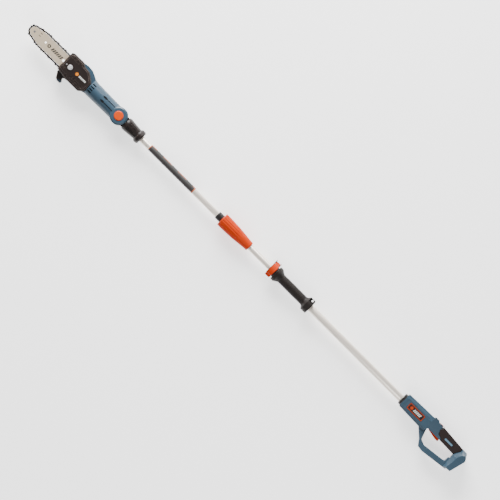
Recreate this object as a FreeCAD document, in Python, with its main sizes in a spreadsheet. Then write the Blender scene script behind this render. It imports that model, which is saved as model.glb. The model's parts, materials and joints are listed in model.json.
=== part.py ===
import FreeCAD, Part
import math
import os
import re
import Sketcher

# Telescoping pole saw, lying on its right side.  Millimetres.
# Sub-parts are drawn about the pole's axis: +X runs from the saw head to the battery foot, +Y is the
# tool's top and +Z its left side.  Each sub-part's placement then lifts the axis off the floor.

DOC = FreeCAD.newDocument("pole_saw")
SHEET = DOC.addObject("Spreadsheet::Sheet", "Sizes")

DIMENSIONS = [
    # where the pole's axis lies
    ("axis_offset", 15.75, "pole axis beside the middle of the tool's height"),
    ("axis_height", 38.0, "pole axis above the floor the tool lies on"),
    # guide bar and chain
    ("bar_middle_y", 1.0, "centre line of the bar beside the pole axis"),
    ("bar_plane", 20.0, "middle plane of the bar, to the left of the pole axis"),
    ("bar_thick", 4.0, "guide bar thickness"),
    ("bar_groove", 1.6, "width of the groove the drive links run in"),
    ("bar_half_width", 26.5, "half the width of the guide bar"),
    ("nose_x", -1127.5, "nose sprocket axis"),
    ("nose_radius", 21.2, "rivet line over the 7-tooth nose sprocket"),
    ("drive_x", -886.7, "drive spindle axis"),
    ("drive_radius", 18.2, "rivet line over the 6-tooth drive sprocket"),
    ("chain_half_width", 29.9, "rivet line from the bar's centre line"),
    ("stud_x", -937.0, "bar stud"),
    ("stud_radius", 4.0, "bar stud radius, M8"),
    ("nut_radius", 9.25, "bar nut radius"),
    ("tension_x", -955.0, "chain tension screw"),
    ("tension_radius", 3.0, "chain tension screw radius"),
    # saw head
    ("cover_front", -970.0, "front edge of the sprocket cover"),
    ("cover_rear", -838.0, "rear edge of the sprocket cover"),
    ("cover_inner", 7.0, "cover's rim, left of the pole axis"),
    ("cover_outer", 34.0, "cover's outer face, left of the pole axis"),
    ("cover_wall", 3.0, "cover wall"),
    ("panel_face", 35.5, "face of the cover's raised panel"),
    ("head_right", -38.0, "right side of the head, flat on the floor"),
    ("head_left", 6.0, "left face of the head under the cover"),
    ("head_wall", 3.0, "head shell wall"),
    ("neck_y", 1.0, "neck's axis beside the pole axis"),
    ("neck_front_radius", 32.5, "neck radius behind the cover"),
    ("neck_rear_radius", 30.0, "neck radius before the knuckle"),
    ("neck_bore", 27.5, "inside radius of the neck"),
    ("pivot_x", -681.0, "tilt axis of the head"),
    ("knuckle_radius", 34.7, "radius of the knuckle's cheeks"),
    ("knuckle_face", 29.0, "radius of the flat on each cheek"),
    ("cheek_inner", 14.2, "inner face of each cheek from the pole axis"),
    ("cheek_outer", 30.0, "outer face of each cheek from the pole axis"),
    ("button_radius", 18.0, "pivot release button"),
    ("button_face", 33.0, "outer face of the button"),
    ("axle_radius", 6.0, "pivot axle"),
    # drive
    ("motor_front", -800.0, "front end of the motor can"),
    ("motor_rear", -738.0, "rear end of the motor can"),
    ("motor_radius", 19.0, "motor can radius"),
    ("motor_z", -8.0, "motor shaft's axis to the right of the pole axis"),
    ("shaft_radius", 2.5, "motor shaft"),
    ("spindle_radius", 5.0, "drive spindle"),
    # pole
    ("tongue_half", 14.0, "half the thickness of the socket's tongue"),
    ("tongue_radius", 33.0, "radius of the socket's tongue"),
    ("upper_front", -640.0, "front end of the upper tube, inside its socket"),
    ("upper_rear", -110.0, "rear end of the upper tube, inside the spigot"),
    ("upper_radius", 12.5, "upper and inner tube radius"),
    ("tube_wall", 1.2, "tube wall"),
    ("label_front", -516.0, "front edge of the label"),
    ("label_rear", -283.5, "rear edge of the label"),
    ("inner_front", -20.0, "front end of the inner tube, inside the receiver"),
    ("inner_rear", 700.0, "rear end of the inner tube, inside the outer tube"),
    ("outer_front", 122.0, "front end of the outer tube, inside the clamp"),
    ("outer_rear", 905.0, "rear end of the outer tube, inside the handle"),
    ("outer_radius", 15.0, "outer tube radius"),
    ("fit_gap", 0.05, "radial clearance of running and slip fits"),
    # clamp and foregrip
    ("clamp_front", 121.5, "front of the clamp"),
    ("clamp_rear", 146.0, "rear of the clamp"),
    ("collar_radius", 21.5, "clamp collar outer radius"),
    ("lever_pin_y", 29.0, "clamp lever's pin above the pole axis"),
    ("grip_front", 150.2, "front of the foregrip"),
    ("grip_rear", 335.0, "rear of the foregrip"),
    ("grip_flange", 30.0, "foregrip flange radius"),
    ("eyelet_x", 324.0, "strap eyelet along the pole"),
    ("eyelet_y", 23.0, "strap eyelet above the pole axis"),
    ("eyelet_radius", 4.0, "strap eyelet radius"),
    # handle
    ("boot_front", 819.0, "front of the boot ring"),
    ("handle_front", 829.0, "front of the handle housing"),
    ("handle_half", 24.0, "half the width of the handle housing"),
    ("loop_half", 13.5, "half the width of the hand loop"),
    ("rear_grip_half", 17.0, "half the width of the rear grip with its overmould"),
    ("core_half", 15.0, "half the width of the grip under its overmould"),
    ("foot_half", 38.0, "half the width of the battery foot"),
    ("dock_half", 31.0, "half the width of the battery dock"),
    ("shell_wall", 2.5, "handle shell wall"),
    ("trigger_x", 975.0, "trigger pivot along the pole"),
    ("trigger_y", -3.0, "trigger pivot beside the pole axis"),
    ("trigger_half", 6.0, "half the width of the trigger"),
    ("small_pin", 1.5, "radius of small pins and screws"),
]

for row, (alias, size, meaning) in enumerate(DIMENSIONS, start=1):
    SHEET.set(f"A{row}", alias)
    SHEET.set(f"B{row}", str(size))
    SHEET.set(f"C{row}", meaning)
    SHEET.setAlias(f"B{row}", alias)
DOC.recompute()

PLANE_AXES = {"XY": 2, "XZ": 1, "YZ": 0}


# ---------------------------------------------------------------- drawing helpers

def size(value):
    """Number for a plain value or for an expression over the sheet's names."""
    if isinstance(value, str):
        return float(SHEET.evalExpression(value))
    return float(value)


def bind(obj, prop, value):
    """Set a property's path from a number, or bind it to an expression over the sheet's names."""
    text = value if isinstance(value, str) else repr(float(value))
    obj.setExpression(prop, re.sub(r"[a-z_]{4,}", lambda name: "Sizes." + name.group(0), text))


def settle(obj):
    """Lift a finished sub-part from the pole's axis to its place on the floor."""
    obj.setExpression("Placement.Base.y", "Sizes.axis_offset")
    obj.setExpression("Placement.Base.z", "Sizes.axis_height")
    return obj


def new_body(name):
    body = DOC.addObject("PartDesign::Body", name)
    body.Label = name
    return settle(body)


def new_sketch(body, plane, at=(0, 0, 0)):
    """Sketch on one of the body's origin planes, shifted in that plane's own axes."""
    sketch = body.newObject("Sketcher::SketchObject", body.Name + "_sketch")
    origin_plane = [item for item in body.Origin.OriginFeatures if item.Role == plane + "_Plane"][0]
    sketch.AttachmentSupport = [(origin_plane, "")]
    sketch.MapMode = "FlatFace"
    sketch.AttachmentOffset = FreeCAD.Placement(FreeCAD.Vector(*[size(value) for value in at]),
                                                FreeCAD.Rotation())
    for letter, value in zip("xyz", at):
        if isinstance(value, str):
            bind(sketch, f"AttachmentOffset.Base.{letter}", value)
    return sketch


def corner_reaches(corners, radii):
    """Distance from each corner to its arc's tangent points, shortened where two arcs would meet."""
    count = len(corners)
    reaches = []
    for index, corner in enumerate(corners):
        back, ahead = corners[index - 1] - corner, corners[(index + 1) % count] - corner
        reaches.append(radii[index] / math.tan(back.getAngle(ahead) / 2) if radii[index] > 0 else 0.0)
    for index in range(count):
        following = (index + 1) % count
        room = 0.98 * corners[index].distanceToPoint(corners[following])
        wanted = reaches[index] + reaches[following]
        if wanted > room:
            reaches[index] *= room / wanted
            reaches[following] *= room / wanted
    return reaches


def corner_arc(before, corner, after, reach):
    """Tangent points and the middle of the arc that rounds one corner."""
    back = (before - corner).normalize()
    ahead = (after - corner).normalize()
    half = back.getAngle(ahead) / 2
    radius = reach * math.tan(half)
    centre = corner + (back + ahead).normalize() * (radius / math.sin(half))
    middle = centre + (corner - centre).normalize() * radius
    return corner + back * reach, middle, corner + ahead * reach


def draw_polygon(sketch, points):
    """Closed polygon whose corners are bound to the sheet wherever they are expressions."""
    corners = [FreeCAD.Vector(size(point[0]), size(point[1]), 0) for point in points]
    count = len(corners)
    first = len(sketch.Geometry)
    for index in range(count):
        sketch.addGeometry(Part.LineSegment(corners[index], corners[(index + 1) % count]), False)
    for index in range(count):
        following = first + (index + 1) % count
        sketch.addConstraint(Sketcher.Constraint("Coincident", first + index, 2, following, 1))
    for index, point in enumerate(points):
        for kind, value in (("DistanceX", point[0]), ("DistanceY", point[1])):
            if isinstance(value, str):
                constraint = Sketcher.Constraint(kind, -1, 1, first + index, 1, size(value))
                bind(sketch, f"Constraints[{sketch.addConstraint(constraint)}]", value)


def draw_rounded(sketch, points):
    """Closed outline of (x, y, corner radius) points, drawn as lines joined by tangent arcs."""
    corners = [FreeCAD.Vector(size(point[0]), size(point[1]), 0) for point in points]
    radii = [size(point[2]) if len(point) > 2 else 0.0 for point in points]
    count = len(corners)
    pieces = []
    for index, reach in enumerate(corner_reaches(corners, radii)):
        corner = corners[index]
        if reach > 0:
            pieces.append(corner_arc(corners[index - 1], corner, corners[(index + 1) % count], reach))
        else:
            pieces.append((corner, None, corner))
    for index in range(count):
        start, middle, end = pieces[index]
        if middle is not None:
            sketch.addGeometry(Part.Arc(start, middle, end), False)
        following = pieces[(index + 1) % count][0]
        if end.distanceToPoint(following) > 1e-6:
            sketch.addGeometry(Part.LineSegment(end, following), False)


def draw(sketch, points):
    if any(len(point) > 2 for point in points):
        draw_rounded(sketch, points)
    else:
        draw_polygon(sketch, points)


def draw_circles(sketch, circles):
    """Circles as (x, y, radius), each bound to the sheet wherever it is an expression."""
    for x, y, radius in circles:
        centre = FreeCAD.Vector(size(x), size(y), 0)
        index = sketch.addGeometry(Part.Circle(centre, FreeCAD.Vector(0, 0, 1), size(radius)), False)
        constraint = Sketcher.Constraint("Radius", index, size(radius))
        if isinstance(radius, str):
            bind(sketch, f"Constraints[{sketch.addConstraint(constraint)}]", radius)
        for kind, value in (("DistanceX", x), ("DistanceY", y)):
            if isinstance(value, str):
                constraint = Sketcher.Constraint(kind, -1, 1, index, 3, size(value))
                bind(sketch, f"Constraints[{sketch.addConstraint(constraint)}]", value)


def extrude(body, sketch, length, cut):
    feature = body.newObject("PartDesign::Pocket" if cut else "PartDesign::Pad", body.Name + "_extrusion")
    feature.Profile = sketch
    feature.Reversed = cut
    bind(feature, "Length", length)
    body.Tip = feature
    return feature


def plane_sketch(body, plane, low, high):
    """Sketch at the start of a slab that fills low to high along the plane's normal axis."""
    start = f"-({high})" if plane == "XZ" else low
    return new_sketch(body, plane, (0, 0, start))


def slab(body, plane, points, low, high, cut=False):
    """Extruded (or cut) outline between two positions along the plane's normal."""
    sketch = plane_sketch(body, plane, low, high)
    draw(sketch, points)
    return extrude(body, sketch, f"({high}) - ({low})", cut)


def rods(body, plane, circles, low, high, cut=False):
    """Extruded (or cut) circles between two positions along the plane's normal."""
    sketch = plane_sketch(body, plane, low, high)
    draw_circles(sketch, circles)
    return extrude(body, sketch, f"({high}) - ({low})", cut)


def box(body, x_range, y_range, z_range, cut=False):
    (x_low, x_high), (y_low, y_high) = x_range, y_range
    points = [(x_low, y_low), (x_high, y_low), (x_high, y_high), (x_low, y_high)]
    return slab(body, "XY", points, z_range[0], z_range[1], cut)


def turn(body, axis, points, at=(0, 0), cut=False, half=0):
    """Turned shape.  Points are (along, radius).  'half' of +1 or -1 keeps one side of the XY plane."""
    if axis == "X":
        sketch = new_sketch(body, "XY", (0, at[0], at[1]))
        draw(sketch, points)
        line = "H_Axis"
    elif axis == "Y":
        sketch = new_sketch(body, "XY", (at[0], 0, at[1]))
        draw(sketch, [(point[1], point[0]) + tuple(point[2:]) for point in points])
        line = "V_Axis"
    else:
        sketch = new_sketch(body, "XZ", (at[0], 0, f"-({at[1]})"))
        draw(sketch, [(point[1], point[0]) + tuple(point[2:]) for point in points])
        line = "V_Axis"
    feature = body.newObject("PartDesign::Groove" if cut else "PartDesign::Revolution", body.Name + "_turned")
    feature.Profile = sketch
    feature.ReferenceAxis = (sketch, [line])
    feature.Angle = 180 if half else 360
    feature.Reversed = half < 0
    body.Tip = feature
    return feature


def ring_pattern(body, feature, count, sketch_axis=None):
    """Repeat a feature evenly round the pole's axis, or round its own sketch's normal."""
    pattern = body.newObject("PartDesign::PolarPattern", body.Name + "_pattern")
    pattern.Originals = [feature]
    if sketch_axis is None:
        axis = [item for item in body.Origin.OriginFeatures if item.Role == "X_Axis"][0]
        pattern.Axis = (axis, [""])
    else:
        pattern.Axis = (sketch_axis, ["N_Axis"])
    pattern.Angle = 360
    pattern.Occurrences = count
    body.Tip = pattern
    return pattern


def bevel_edges(body, reach, chosen):
    """Chamfer every edge of the body that 'chosen' accepts."""
    DOC.recompute()
    base = body.Tip
    names = [f"Edge{index}" for index, edge in enumerate(base.Shape.Edges, start=1) if chosen(edge)]
    feature = body.newObject("PartDesign::Chamfer", body.Name + "_chamfer")
    feature.Base = (base, names)
    feature.Size = reach
    body.Tip = feature
    return feature


def at_level(level, axis="z"):
    """Test for edges that lie wholly at one level."""
    def chosen(edge):
        bounds = edge.BoundBox
        low, high = {"x": (bounds.XMin, bounds.XMax), "y": (bounds.YMin, bounds.YMax),
                     "z": (bounds.ZMin, bounds.ZMax)}[axis]
        return abs(low - level) < 1e-3 and abs(high - level) < 1e-3
    return chosen


def group(name, shapes):
    """One sub-part made of several separate solids."""
    part = DOC.addObject("Part::Feature", name)
    part.Label = name
    part.Shape = Part.makeCompound(shapes)
    return settle(part)


def vector(x, y, z):
    return FreeCAD.Vector(size(x), size(y), size(z))


# ---------------------------------------------------------------- chain path

def hull_path(circles, steps=72):
    """Points, evenly dense, of the belt round a set of (x, y, radius) circles, clockwise seen from +Z."""
    cloud = []
    for x, y, radius in circles:
        for step in range(steps):
            angle = 2 * math.pi * step / steps
            cloud.append((x + radius * math.cos(angle), y + radius * math.sin(angle)))
    cloud.sort()

    def chain_of(points):
        kept = []
        for point in points:
            while len(kept) > 1:
                (ax, ay), (bx, by) = kept[-2], kept[-1]
                if (bx - ax) * (point[1] - ay) - (by - ay) * (point[0] - ax) > 0:
                    break
                kept.pop()
            kept.append(point)
        return kept[:-1]

    return (chain_of(cloud) + chain_of(reversed(cloud)))[::-1]


def belt_circles(offset):
    """Circles that carry the rivet line, moved outward by 'offset'."""
    middle = size("bar_middle_y")
    return [(size("nose_x"), middle, size("nose_radius") + offset),
            (size("nose_x") + 42.5, middle, size("chain_half_width") + offset),
            (size("stud_x") - 8, middle, size("chain_half_width") + offset),
            (size("drive_x"), middle, size("drive_radius") + offset)]


def belt_frames(count):
    """(x, y, heading) at even steps along the rivet line, heading along the chain's travel."""
    path = hull_path(belt_circles(0), 360)
    lengths = [math.dist(path[index], path[(index + 1) % len(path)]) for index in range(len(path))]
    step = sum(lengths) / count
    frames = []
    index = 0
    travelled = 0.0
    for number in range(count):
        target = number * step
        while travelled + lengths[index] < target:
            travelled += lengths[index]
            index += 1
        (ax, ay), (bx, by) = path[index], path[(index + 1) % len(path)]
        share = (target - travelled) / lengths[index]
        frames.append((ax + (bx - ax) * share, ay + (by - ay) * share, math.atan2(by - ay, bx - ax)))
    return frames


CHAIN_FRAMES = belt_frames(64)


def plate(points, holes, low, high):
    """Flat link between two levels, with round holes as (x, y, radius)."""
    wire = Part.makePolygon([FreeCAD.Vector(x, y, low) for x, y in points + points[:1]])
    solid = Part.Face(wire).extrude(FreeCAD.Vector(0, 0, high - low))
    for x, y, radius in holes:
        solid = solid.cut(Part.makeCylinder(radius, high - low + 2, FreeCAD.Vector(x, y, low - 1)))
    return solid


def at_frame(shape, frame):
    moved = shape.copy()
    moved.Placement = FreeCAD.Placement(FreeCAD.Vector(frame[0], frame[1], size("bar_plane")),
                                        FreeCAD.Rotation(FreeCAD.Vector(0, 0, 1), math.degrees(frame[2])))
    return moved


# ---------------------------------------------------------------- guide bar and chain

def guide_bar():
    body = new_body("guide_bar")
    low = "bar_plane - bar_thick / 2"
    high = "bar_plane + bar_thick / 2"
    edge = "bar_half_width"
    middle = size("bar_middle_y")
    rear = size("drive_x") - 28
    top, foot = middle + size(edge), middle - size(edge)
    outline = [(-1214.5, middle, size("nose_radius") - 3.4), (-1087.7, foot, 40), (-942.6, foot, 30),
               (rear, middle - 20.8, 5), (rear, middle + 20.8, 5), (-942.6, top, 30), (-1087.7, top, 40)]
    slab(body, "XY", outline, low, high)
    groove_low = "bar_plane - bar_groove / 2"
    groove_high = "bar_plane + bar_groove / 2"
    depth = 6.5
    inner = [(-1106, foot + depth + 8, 6), (-1088, foot + depth, 20), (-942, foot + depth, 10),
             (rear - 8, foot + depth + 5, 3), (rear - 8, top - depth - 5, 3), (-942, top - depth, 10),
             (-1088, top - depth, 20), (-1106, top - depth - 8, 6)]
    band = plane_sketch(body, "XY", groove_low, groove_high)
    draw_rounded(band, [(-1160, -40), (-890, -40), (-890, 42), (-1160, 42)])
    draw_rounded(band, inner)
    extrude(body, band, f"({groove_high}) - ({groove_low})", True)
    slot = [(-979, -4.5, 4.4), (-925, -4.5, 4.4), (-925, 4.5, 4.4), (-979, 4.5, 4.4)]
    slab(body, "XY", slot, low, high, cut=True)
    rods(body, "XY", [(-1069, "bar_middle_y", 3.5), ("nose_x", "bar_middle_y", 3.05),
                      (-950, "bar_middle_y - 13", 2.55)], low, high, cut=True)
    return body


def chain():
    """Saw chain at rest: drive links, tie straps, cutters and rivets, each its own solid."""
    thick = size("bar_groove") - 0.3
    rail = 0.12 + thick / 2
    holes = [(-4.7625, 0, 1.65), (4.7625, 0, 1.65)]
    drive_link = plate([(-7, 2.6), (-7, -2.6), (-4, -3), (-1.6, -7), (1.6, -7), (4, -3), (7, -2.6), (7, 2.6)],
                       holes, -thick / 2, thick / 2)
    strap_outline = [(-7.4, -3), (7.4, -3), (7.4, 2.2), (5.2, 3.2), (-5.2, 3.2), (-7.4, 2.2)]
    cutter_outline = [(-8.6, -3), (8.6, -3), (8.6, 5.3), (1.2, 5.8), (0.4, 2.2), (-3, 1.8), (-4.2, 4.9),
                      (-7.6, 4.5), (-8.6, 3)]
    straps = {}
    for side in (1, -1):
        near, far = sorted((side * rail, side * (rail + 1.1)))
        straps[side] = plate(strap_outline, holes, near, far)
        cutter = plate(cutter_outline, holes, near, far)
        edge_low, edge_high = sorted((side * (rail + 1.0), side * (rail + 2.2)))
        chisel = plate([(1.4, 4.6), (8.6, 4.3), (8.6, 5.3), (1.2, 5.8)], [], edge_low, edge_high)
        straps[side, "cutter"] = cutter.fuse(chisel)
    rivets = [Part.makeCylinder(1.6, 2 * (rail + 1.35), FreeCAD.Vector(x, 0, -(rail + 1.35))) for x, _, _ in holes]
    solids = []
    for index, frame in enumerate(CHAIN_FRAMES):
        if index % 2 == 0:
            solids.append(at_frame(drive_link, frame))
            solids.extend(at_frame(rivet, frame) for rivet in rivets)
            continue
        pair = index // 2
        for side in (1, -1):
            is_cutter = pair % 4 == (0 if side > 0 else 2)
            solids.append(at_frame(straps[side, "cutter"] if is_cutter else straps[side], frame))
    return group("chain", solids)


def sprocket_phase(centre_x):
    """Heading, seen from a sprocket, of the drive link nearest to the sprocket's far side."""
    middle = size("bar_middle_y")
    links = [frame for frame in CHAIN_FRAMES[::2] if math.dist(frame[:2], (centre_x, middle)) < 23]
    link = min(links, key=lambda frame: abs(frame[1] - middle))
    return math.atan2(link[1] - middle, link[0] - centre_x)


def star(centre_x, teeth, root, tip, low, high, bore):
    """Sprocket whose teeth stand between the drive links' tangs."""
    middle = size("bar_middle_y")
    phase = sprocket_phase(centre_x)
    points = []
    for tooth in range(teeth):
        for share, radius in ((0.24, root), (0.36, tip), (0.64, tip), (0.76, root)):
            angle = phase + 2 * math.pi * (tooth + share) / teeth
            points.append((centre_x + radius * math.cos(angle), middle + radius * math.sin(angle)))
    return plate(points, [(centre_x, middle, bore)], low, high)


def nose_sprocket():
    thick = size("bar_groove") - 0.3
    plane = size("bar_plane")
    wheel = star(size("nose_x"), 7, 13.2, 17.2, plane - thick / 2, plane + thick / 2, 3.1)
    return group("nose_sprocket", [wheel])


def nose_rivet():
    body = new_body("nose_rivet")
    low = "bar_plane - bar_thick / 2"
    high = "bar_plane + bar_thick / 2"
    turn(body, "Z", [(f"{low} - 0.4", 0), (f"{low} - 0.4", 4), (f"{low} - 0.02", 4), (f"{low} - 0.02", 3),
                     (f"{high} + 0.02", 3), (f"{high} + 0.02", 4), (f"{high} + 0.4", 4), (f"{high} + 0.4", 0)],
         ("nose_x", "bar_middle_y"))
    return body


def tension_pin():
    body = new_body("tension_pin")
    turn(body, "Z", [(9, 0), (9, 4), (17, 4), (17, 2.5), ("bar_plane + bar_thick / 2 - 0.2", 2.5),
                     ("bar_plane + bar_thick / 2 - 0.2", 0)], (-950, "bar_middle_y - 13"))
    return body


def tension_screw():
    body = new_body("tension_screw")
    turn(body, "Z", [(16.2, 0), (16.2, 2), (31.2, 2), (31.2, "tension_radius"),
                     ("cover_outer - 0.3", "tension_radius"), ("cover_outer - 0.3", 0)], ("tension_x", 0))
    box(body, (-955.45, -954.55), (-4, 4), (32.6, "cover_outer"), cut=True)
    return body


def bar_stud():
    body = new_body("bar_stud")
    turn(body, "Z", [(-2, 0), (-2, 7), (2.9, 7), (2.9, "stud_radius"), (36.5, "stud_radius"), (37, 3.5), (37, 0)],
         ("stud_x", 0))
    return body


def bar_nut():
    body = new_body("bar_nut")
    inner = "stud_radius + fit_gap"
    turn(body, "Z", [(31.3, inner), (31.3, 9.9), (33, 9.9), (33, "nut_radius"), (36.6, "nut_radius"),
                     (37.6, "nut_radius - 1"), (37.6, inner)], ("stud_x", 0))
    box(body, (-948, -926), (-1.3, 1.3), (36, 38), cut=True)
    return body


# ---------------------------------------------------------------- sprocket cover

COVER_OUTLINE = [(-970, -36, 3), (-970, 46, 7), (-958, 50, 8), (-911, 50, 3), (-901, 41, 4), (-872, 38, 14),
                 (-840, 14, 6), (-838, 8, 4), (-838, -26, 4), (-857, -43.5, 8), (-928, -43.5, 6)]
COVER_CAVITY = [(-975, -33, 0), (-975, 36, 0), (-966, 36, 0), (-966, 46.5, 3), (-912, 46.5, 3), (-903, 37.5, 4),
                (-874, 34.5, 12), (-841, 11, 5), (-841, -25, 4), (-858, -40.2, 6), (-928, -40.2, 4)]

COVER_PANEL = [(-964, -30, 3), (-964, 40.5, 4), (-955, 43.5, 5), (-914, 43.5, 3), (-905, 35, 4), (-875, 32, 12),
               (-846, 10.5, 5), (-845, 7, 4), (-845, -22, 4), (-860, -36.5, 6), (-921, -36.5, 4), (-927, -30, 3)]


def sprocket_cover():
    body = new_body("sprocket_cover")
    slab(body, "XY", COVER_OUTLINE, "cover_inner", "cover_outer")
    bevel_edges(body, 2.8, at_level(size("cover_outer")))
    roof = "cover_outer - cover_wall"
    slab(body, "XY", COVER_PANEL, "cover_outer - 1", "panel_face")
    bevel_edges(body, 1.1, at_level(size("panel_face")))
    slab(body, "XY", COVER_CAVITY, "cover_inner - 1", roof, cut=True)
    rods(body, "XY", [("stud_x", 0, 13)], 22.3, "cover_outer - 1")
    rods(body, "XY", [("tension_x", 0, 6)], 24, "cover_outer - 1")
    rods(body, "XY", [("stud_x", 0, 10.4)], 31.1, 40, cut=True)
    rods(body, "XY", [("stud_x", 0, "stud_radius + 0.3")], 20, 40, cut=True)
    rods(body, "XY", [("tension_x", 0, "tension_radius + fit_gap")], 31, 40, cut=True)
    rods(body, "XY", [("tension_x", 0, 2.2)], 20, 40, cut=True)
    for level, front, rear in ((37, -960, -914), (31.5, -960, -914), (-21, -912, -852), (-27.5, -912, -852)):
        box(body, (front, rear), (level - 1.1, level + 1.1), ("cover_outer - 0.4", 38), cut=True)
    for level in (-26, -20, -14):
        box(body, (-960, -950), (level - 0.9, level + 0.9), ("cover_outer - 0.2", 38), cut=True)
    return body


def cover_badge():
    """Round emblem disc and a plain strip, raised on the cover."""
    low, high = size("panel_face") + 0.02, size("panel_face") + 0.6
    disc = Part.makeCylinder(6.5, high - low, FreeCAD.Vector(-901, 0, low))
    strip = Part.makeBox(34, 7, high - low, FreeCAD.Vector(-891, -3.5, low))
    return group("cover_badge", [disc, strip])


def branch_hook():
    body = new_body("branch_hook")
    outline = [(-966, -38.3, 0), (-963, -46, 3), (-950, -66, 4), (-941, -70.5, 3), (-927, -70.5, 2), (-923, -63, 2),
               (-932, -51, 4), (-926, -46, 3), (-912, -44, 2), (-912, -38.3, 0)]
    slab(body, "XY", outline, -7, 6.6)
    bevel_edges(body, 1.6, at_level(6.6))
    return body


# ---------------------------------------------------------------- saw head

HEAD_OUTLINE = [(-966, -38, 6), (-966, 44, 8), (-950, 49, 6), (-912, 49.5, 12), (-891, 52.8, 14), (-870, 50.6, 8),
                (-852, 42.5, 8), (-838, 35.3, 4), (-824, 33, 0), (-824, -30, 0), (-838, -31, 4), (-857, -38, 8)]
HEAD_CAVITY = [(-963, -35, 4), (-963, 41, 6), (-950, 46, 5), (-912, 46.5, 10), (-891, 49.5, 11), (-871, 47.5, 8),
               (-854, 39.5, 8), (-842, 33, 4), (-836, 28, 0), (-836, -26, 0), (-842, -29, 4), (-858, -35, 6)]
HEAD_SCREWS = [(-957, 36), (-957, -30), (-868, 40), (-850, -28), (-826, 24), (-826, -22), (-716, 22), (-716, -20)]
SCREW_SHANK = 1.5
SCREW_HEAD = 3.0


def head_shell(side):
    """One half of the head; side is +1 for the left half and -1 for the right."""
    body = new_body("head_shell_left" if side > 0 else "head_shell_right")
    neck_front = -836.5 if side > 0 else -842
    turn(body, "X", [(neck_front, 0), (neck_front, "neck_front_radius"), (-816, "neck_front_radius - 0.6"),
                     (-715, "neck_rear_radius"), (-690, "neck_rear_radius"), (-690, 0)],
         ("neck_y", 0), half=side)
    if side > 0:
        slab(body, "XY", HEAD_OUTLINE, 0, "head_left")
        slab(body, "XY", [(-962, -16, 4), (-912, -16, 4), (-912, 18, 4), (-962, 18, 4)], 0, 16)
    else:
        slab(body, "XY", HEAD_OUTLINE, "head_right", 0)
        bevel_edges(body, 5, at_level(size("head_right")))
    turn(body, "X", [(-835 if side > 0 else -838, 0), (-835 if side > 0 else -838, "neck_bore"),
                     (-724, "neck_bore"), (-724, 0)], ("neck_y", 0), cut=True)
    cheek = [("cheek_inner", 0), ("cheek_inner", "knuckle_radius"), ("cheek_outer - 4", "knuckle_radius"),
             ("cheek_outer", "knuckle_face"), ("cheek_outer", 0)]
    if side < 0:
        cheek = [(f"-({along})", radius) for along, radius in cheek]
    turn(body, "Z", cheek, ("pivot_x", 0))
    turn(body, "Z", [("-cheek_inner", 0), ("-cheek_inner", "knuckle_radius + 1.3"),
                     ("cheek_inner", "knuckle_radius + 1.3"), ("cheek_inner", 0)], ("pivot_x", 0), cut=True)
    if side > 0:
        slab(body, "XY", HEAD_CAVITY, -1, "head_left - head_wall", cut=True)
        rods(body, "XY", [("stud_x", 0, 10)], 0, 6)
        rods(body, "XY", [("drive_x", "bar_middle_y", 11)], 0.3, 4)
        rods(body, "YZ", [("neck_y", "motor_z", 13)], -840, -830, cut=True)
    else:
        slab(body, "XY", HEAD_CAVITY, "head_right + head_wall", 1, cut=True)
    head_bosses(body, side)
    if side > 0:
        dress_left_head(body)
    else:
        dress_right_head(body)
    return body


def head_bosses(body, side):
    """Screw bosses: heads sit in the right half and the threads end in the left half."""
    for x, y in HEAD_SCREWS:
        floor, top = head_screw_span(x)
        if side > 0:
            rods(body, "XY", [(x, y, 4)], 0, top)
            rods(body, "XY", [(x, y, "small_pin + 0.1")], -1, top - 1.5, cut=True)
        else:
            rods(body, "XY", [(x, y, 4.6)], floor, 0)
            rods(body, "XY", [(x, y, "small_pin + 0.1")], floor - 1, 1, cut=True)
            rods(body, "XY", [(x, y, SCREW_HEAD + 0.3)], -40, floor + 2, cut=True)


def head_screw_span(x):
    """Level of the boss's outer end in the right half, and of its top in the left half."""
    if x < -840:
        return -35.5, 4.5
    return (-19.5, 17) if x > -720 else (-19.5, 17)


def dress_left_head(body):
    """Bearing seat, stud hole, button well, vents and grip grooves."""
    rods(body, "XY", [("stud_x", 0, 7.2)], -5, 2.95, cut=True)
    rods(body, "XY", [("stud_x", 0, "stud_radius + fit_gap")], 2, 20, cut=True)
    rods(body, "XY", [("drive_x", "bar_middle_y", 8)], -4, 4.6, cut=True)
    rods(body, "XY", [("drive_x", "bar_middle_y", 6)], 2, 20, cut=True)
    slab(body, "XY", [(-957, -18, 0), (-943, -18, 0), (-943, -7, 2), (-957, -7, 2)], 8, 20, cut=True)
    rods(body, "XY", [("tension_x", 0, 2.3)], 15.9, 20, cut=True)
    rods(body, "XY", [("pivot_x", 0, "button_radius + 0.1")], 19, 40, cut=True)
    rods(body, "XY", [("pivot_x", 0, "axle_radius + fit_gap")], 10, 40, cut=True)
    for level in (17, 6, -4, -14):
        box(body, (-833, -816), (level - 2.1, level + 2.1), (12, 40), cut=True)
    for level, depth in ((13, 26.6), (-5, 28.5)):
        box(body, (-758, -711), (level - 1.7, level + 1.7), (depth, 40), cut=True)
        arrow = [(-776, level), (-766, level + 4), (-756, level + 4), (-756, level - 4), (-766, level - 4)]
        slab(body, "XY", arrow, depth, 40, cut=True)


def dress_right_head(body):
    """Pivot bolt seat, oil cap well and vents."""
    rods(body, "XY", [("pivot_x", 0, "axle_radius + fit_gap")], -40, -10, cut=True)
    rods(body, "XY", [("pivot_x", 0, 9.3)], -40, -25, cut=True)
    rods(body, "XY", [(-934, 20, 15)], -37, -28)
    rods(body, "XY", [(-934, 20, 13)], -40, -30, cut=True)
    rods(body, "XY", [(-934, 20, 9.2)], -40, -20, cut=True)
    for level in (22, 11.5, 1, -9):
        box(body, (-833, -816), (level - 1.5, level + 1.5), (-40, -12), cut=True)


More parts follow.
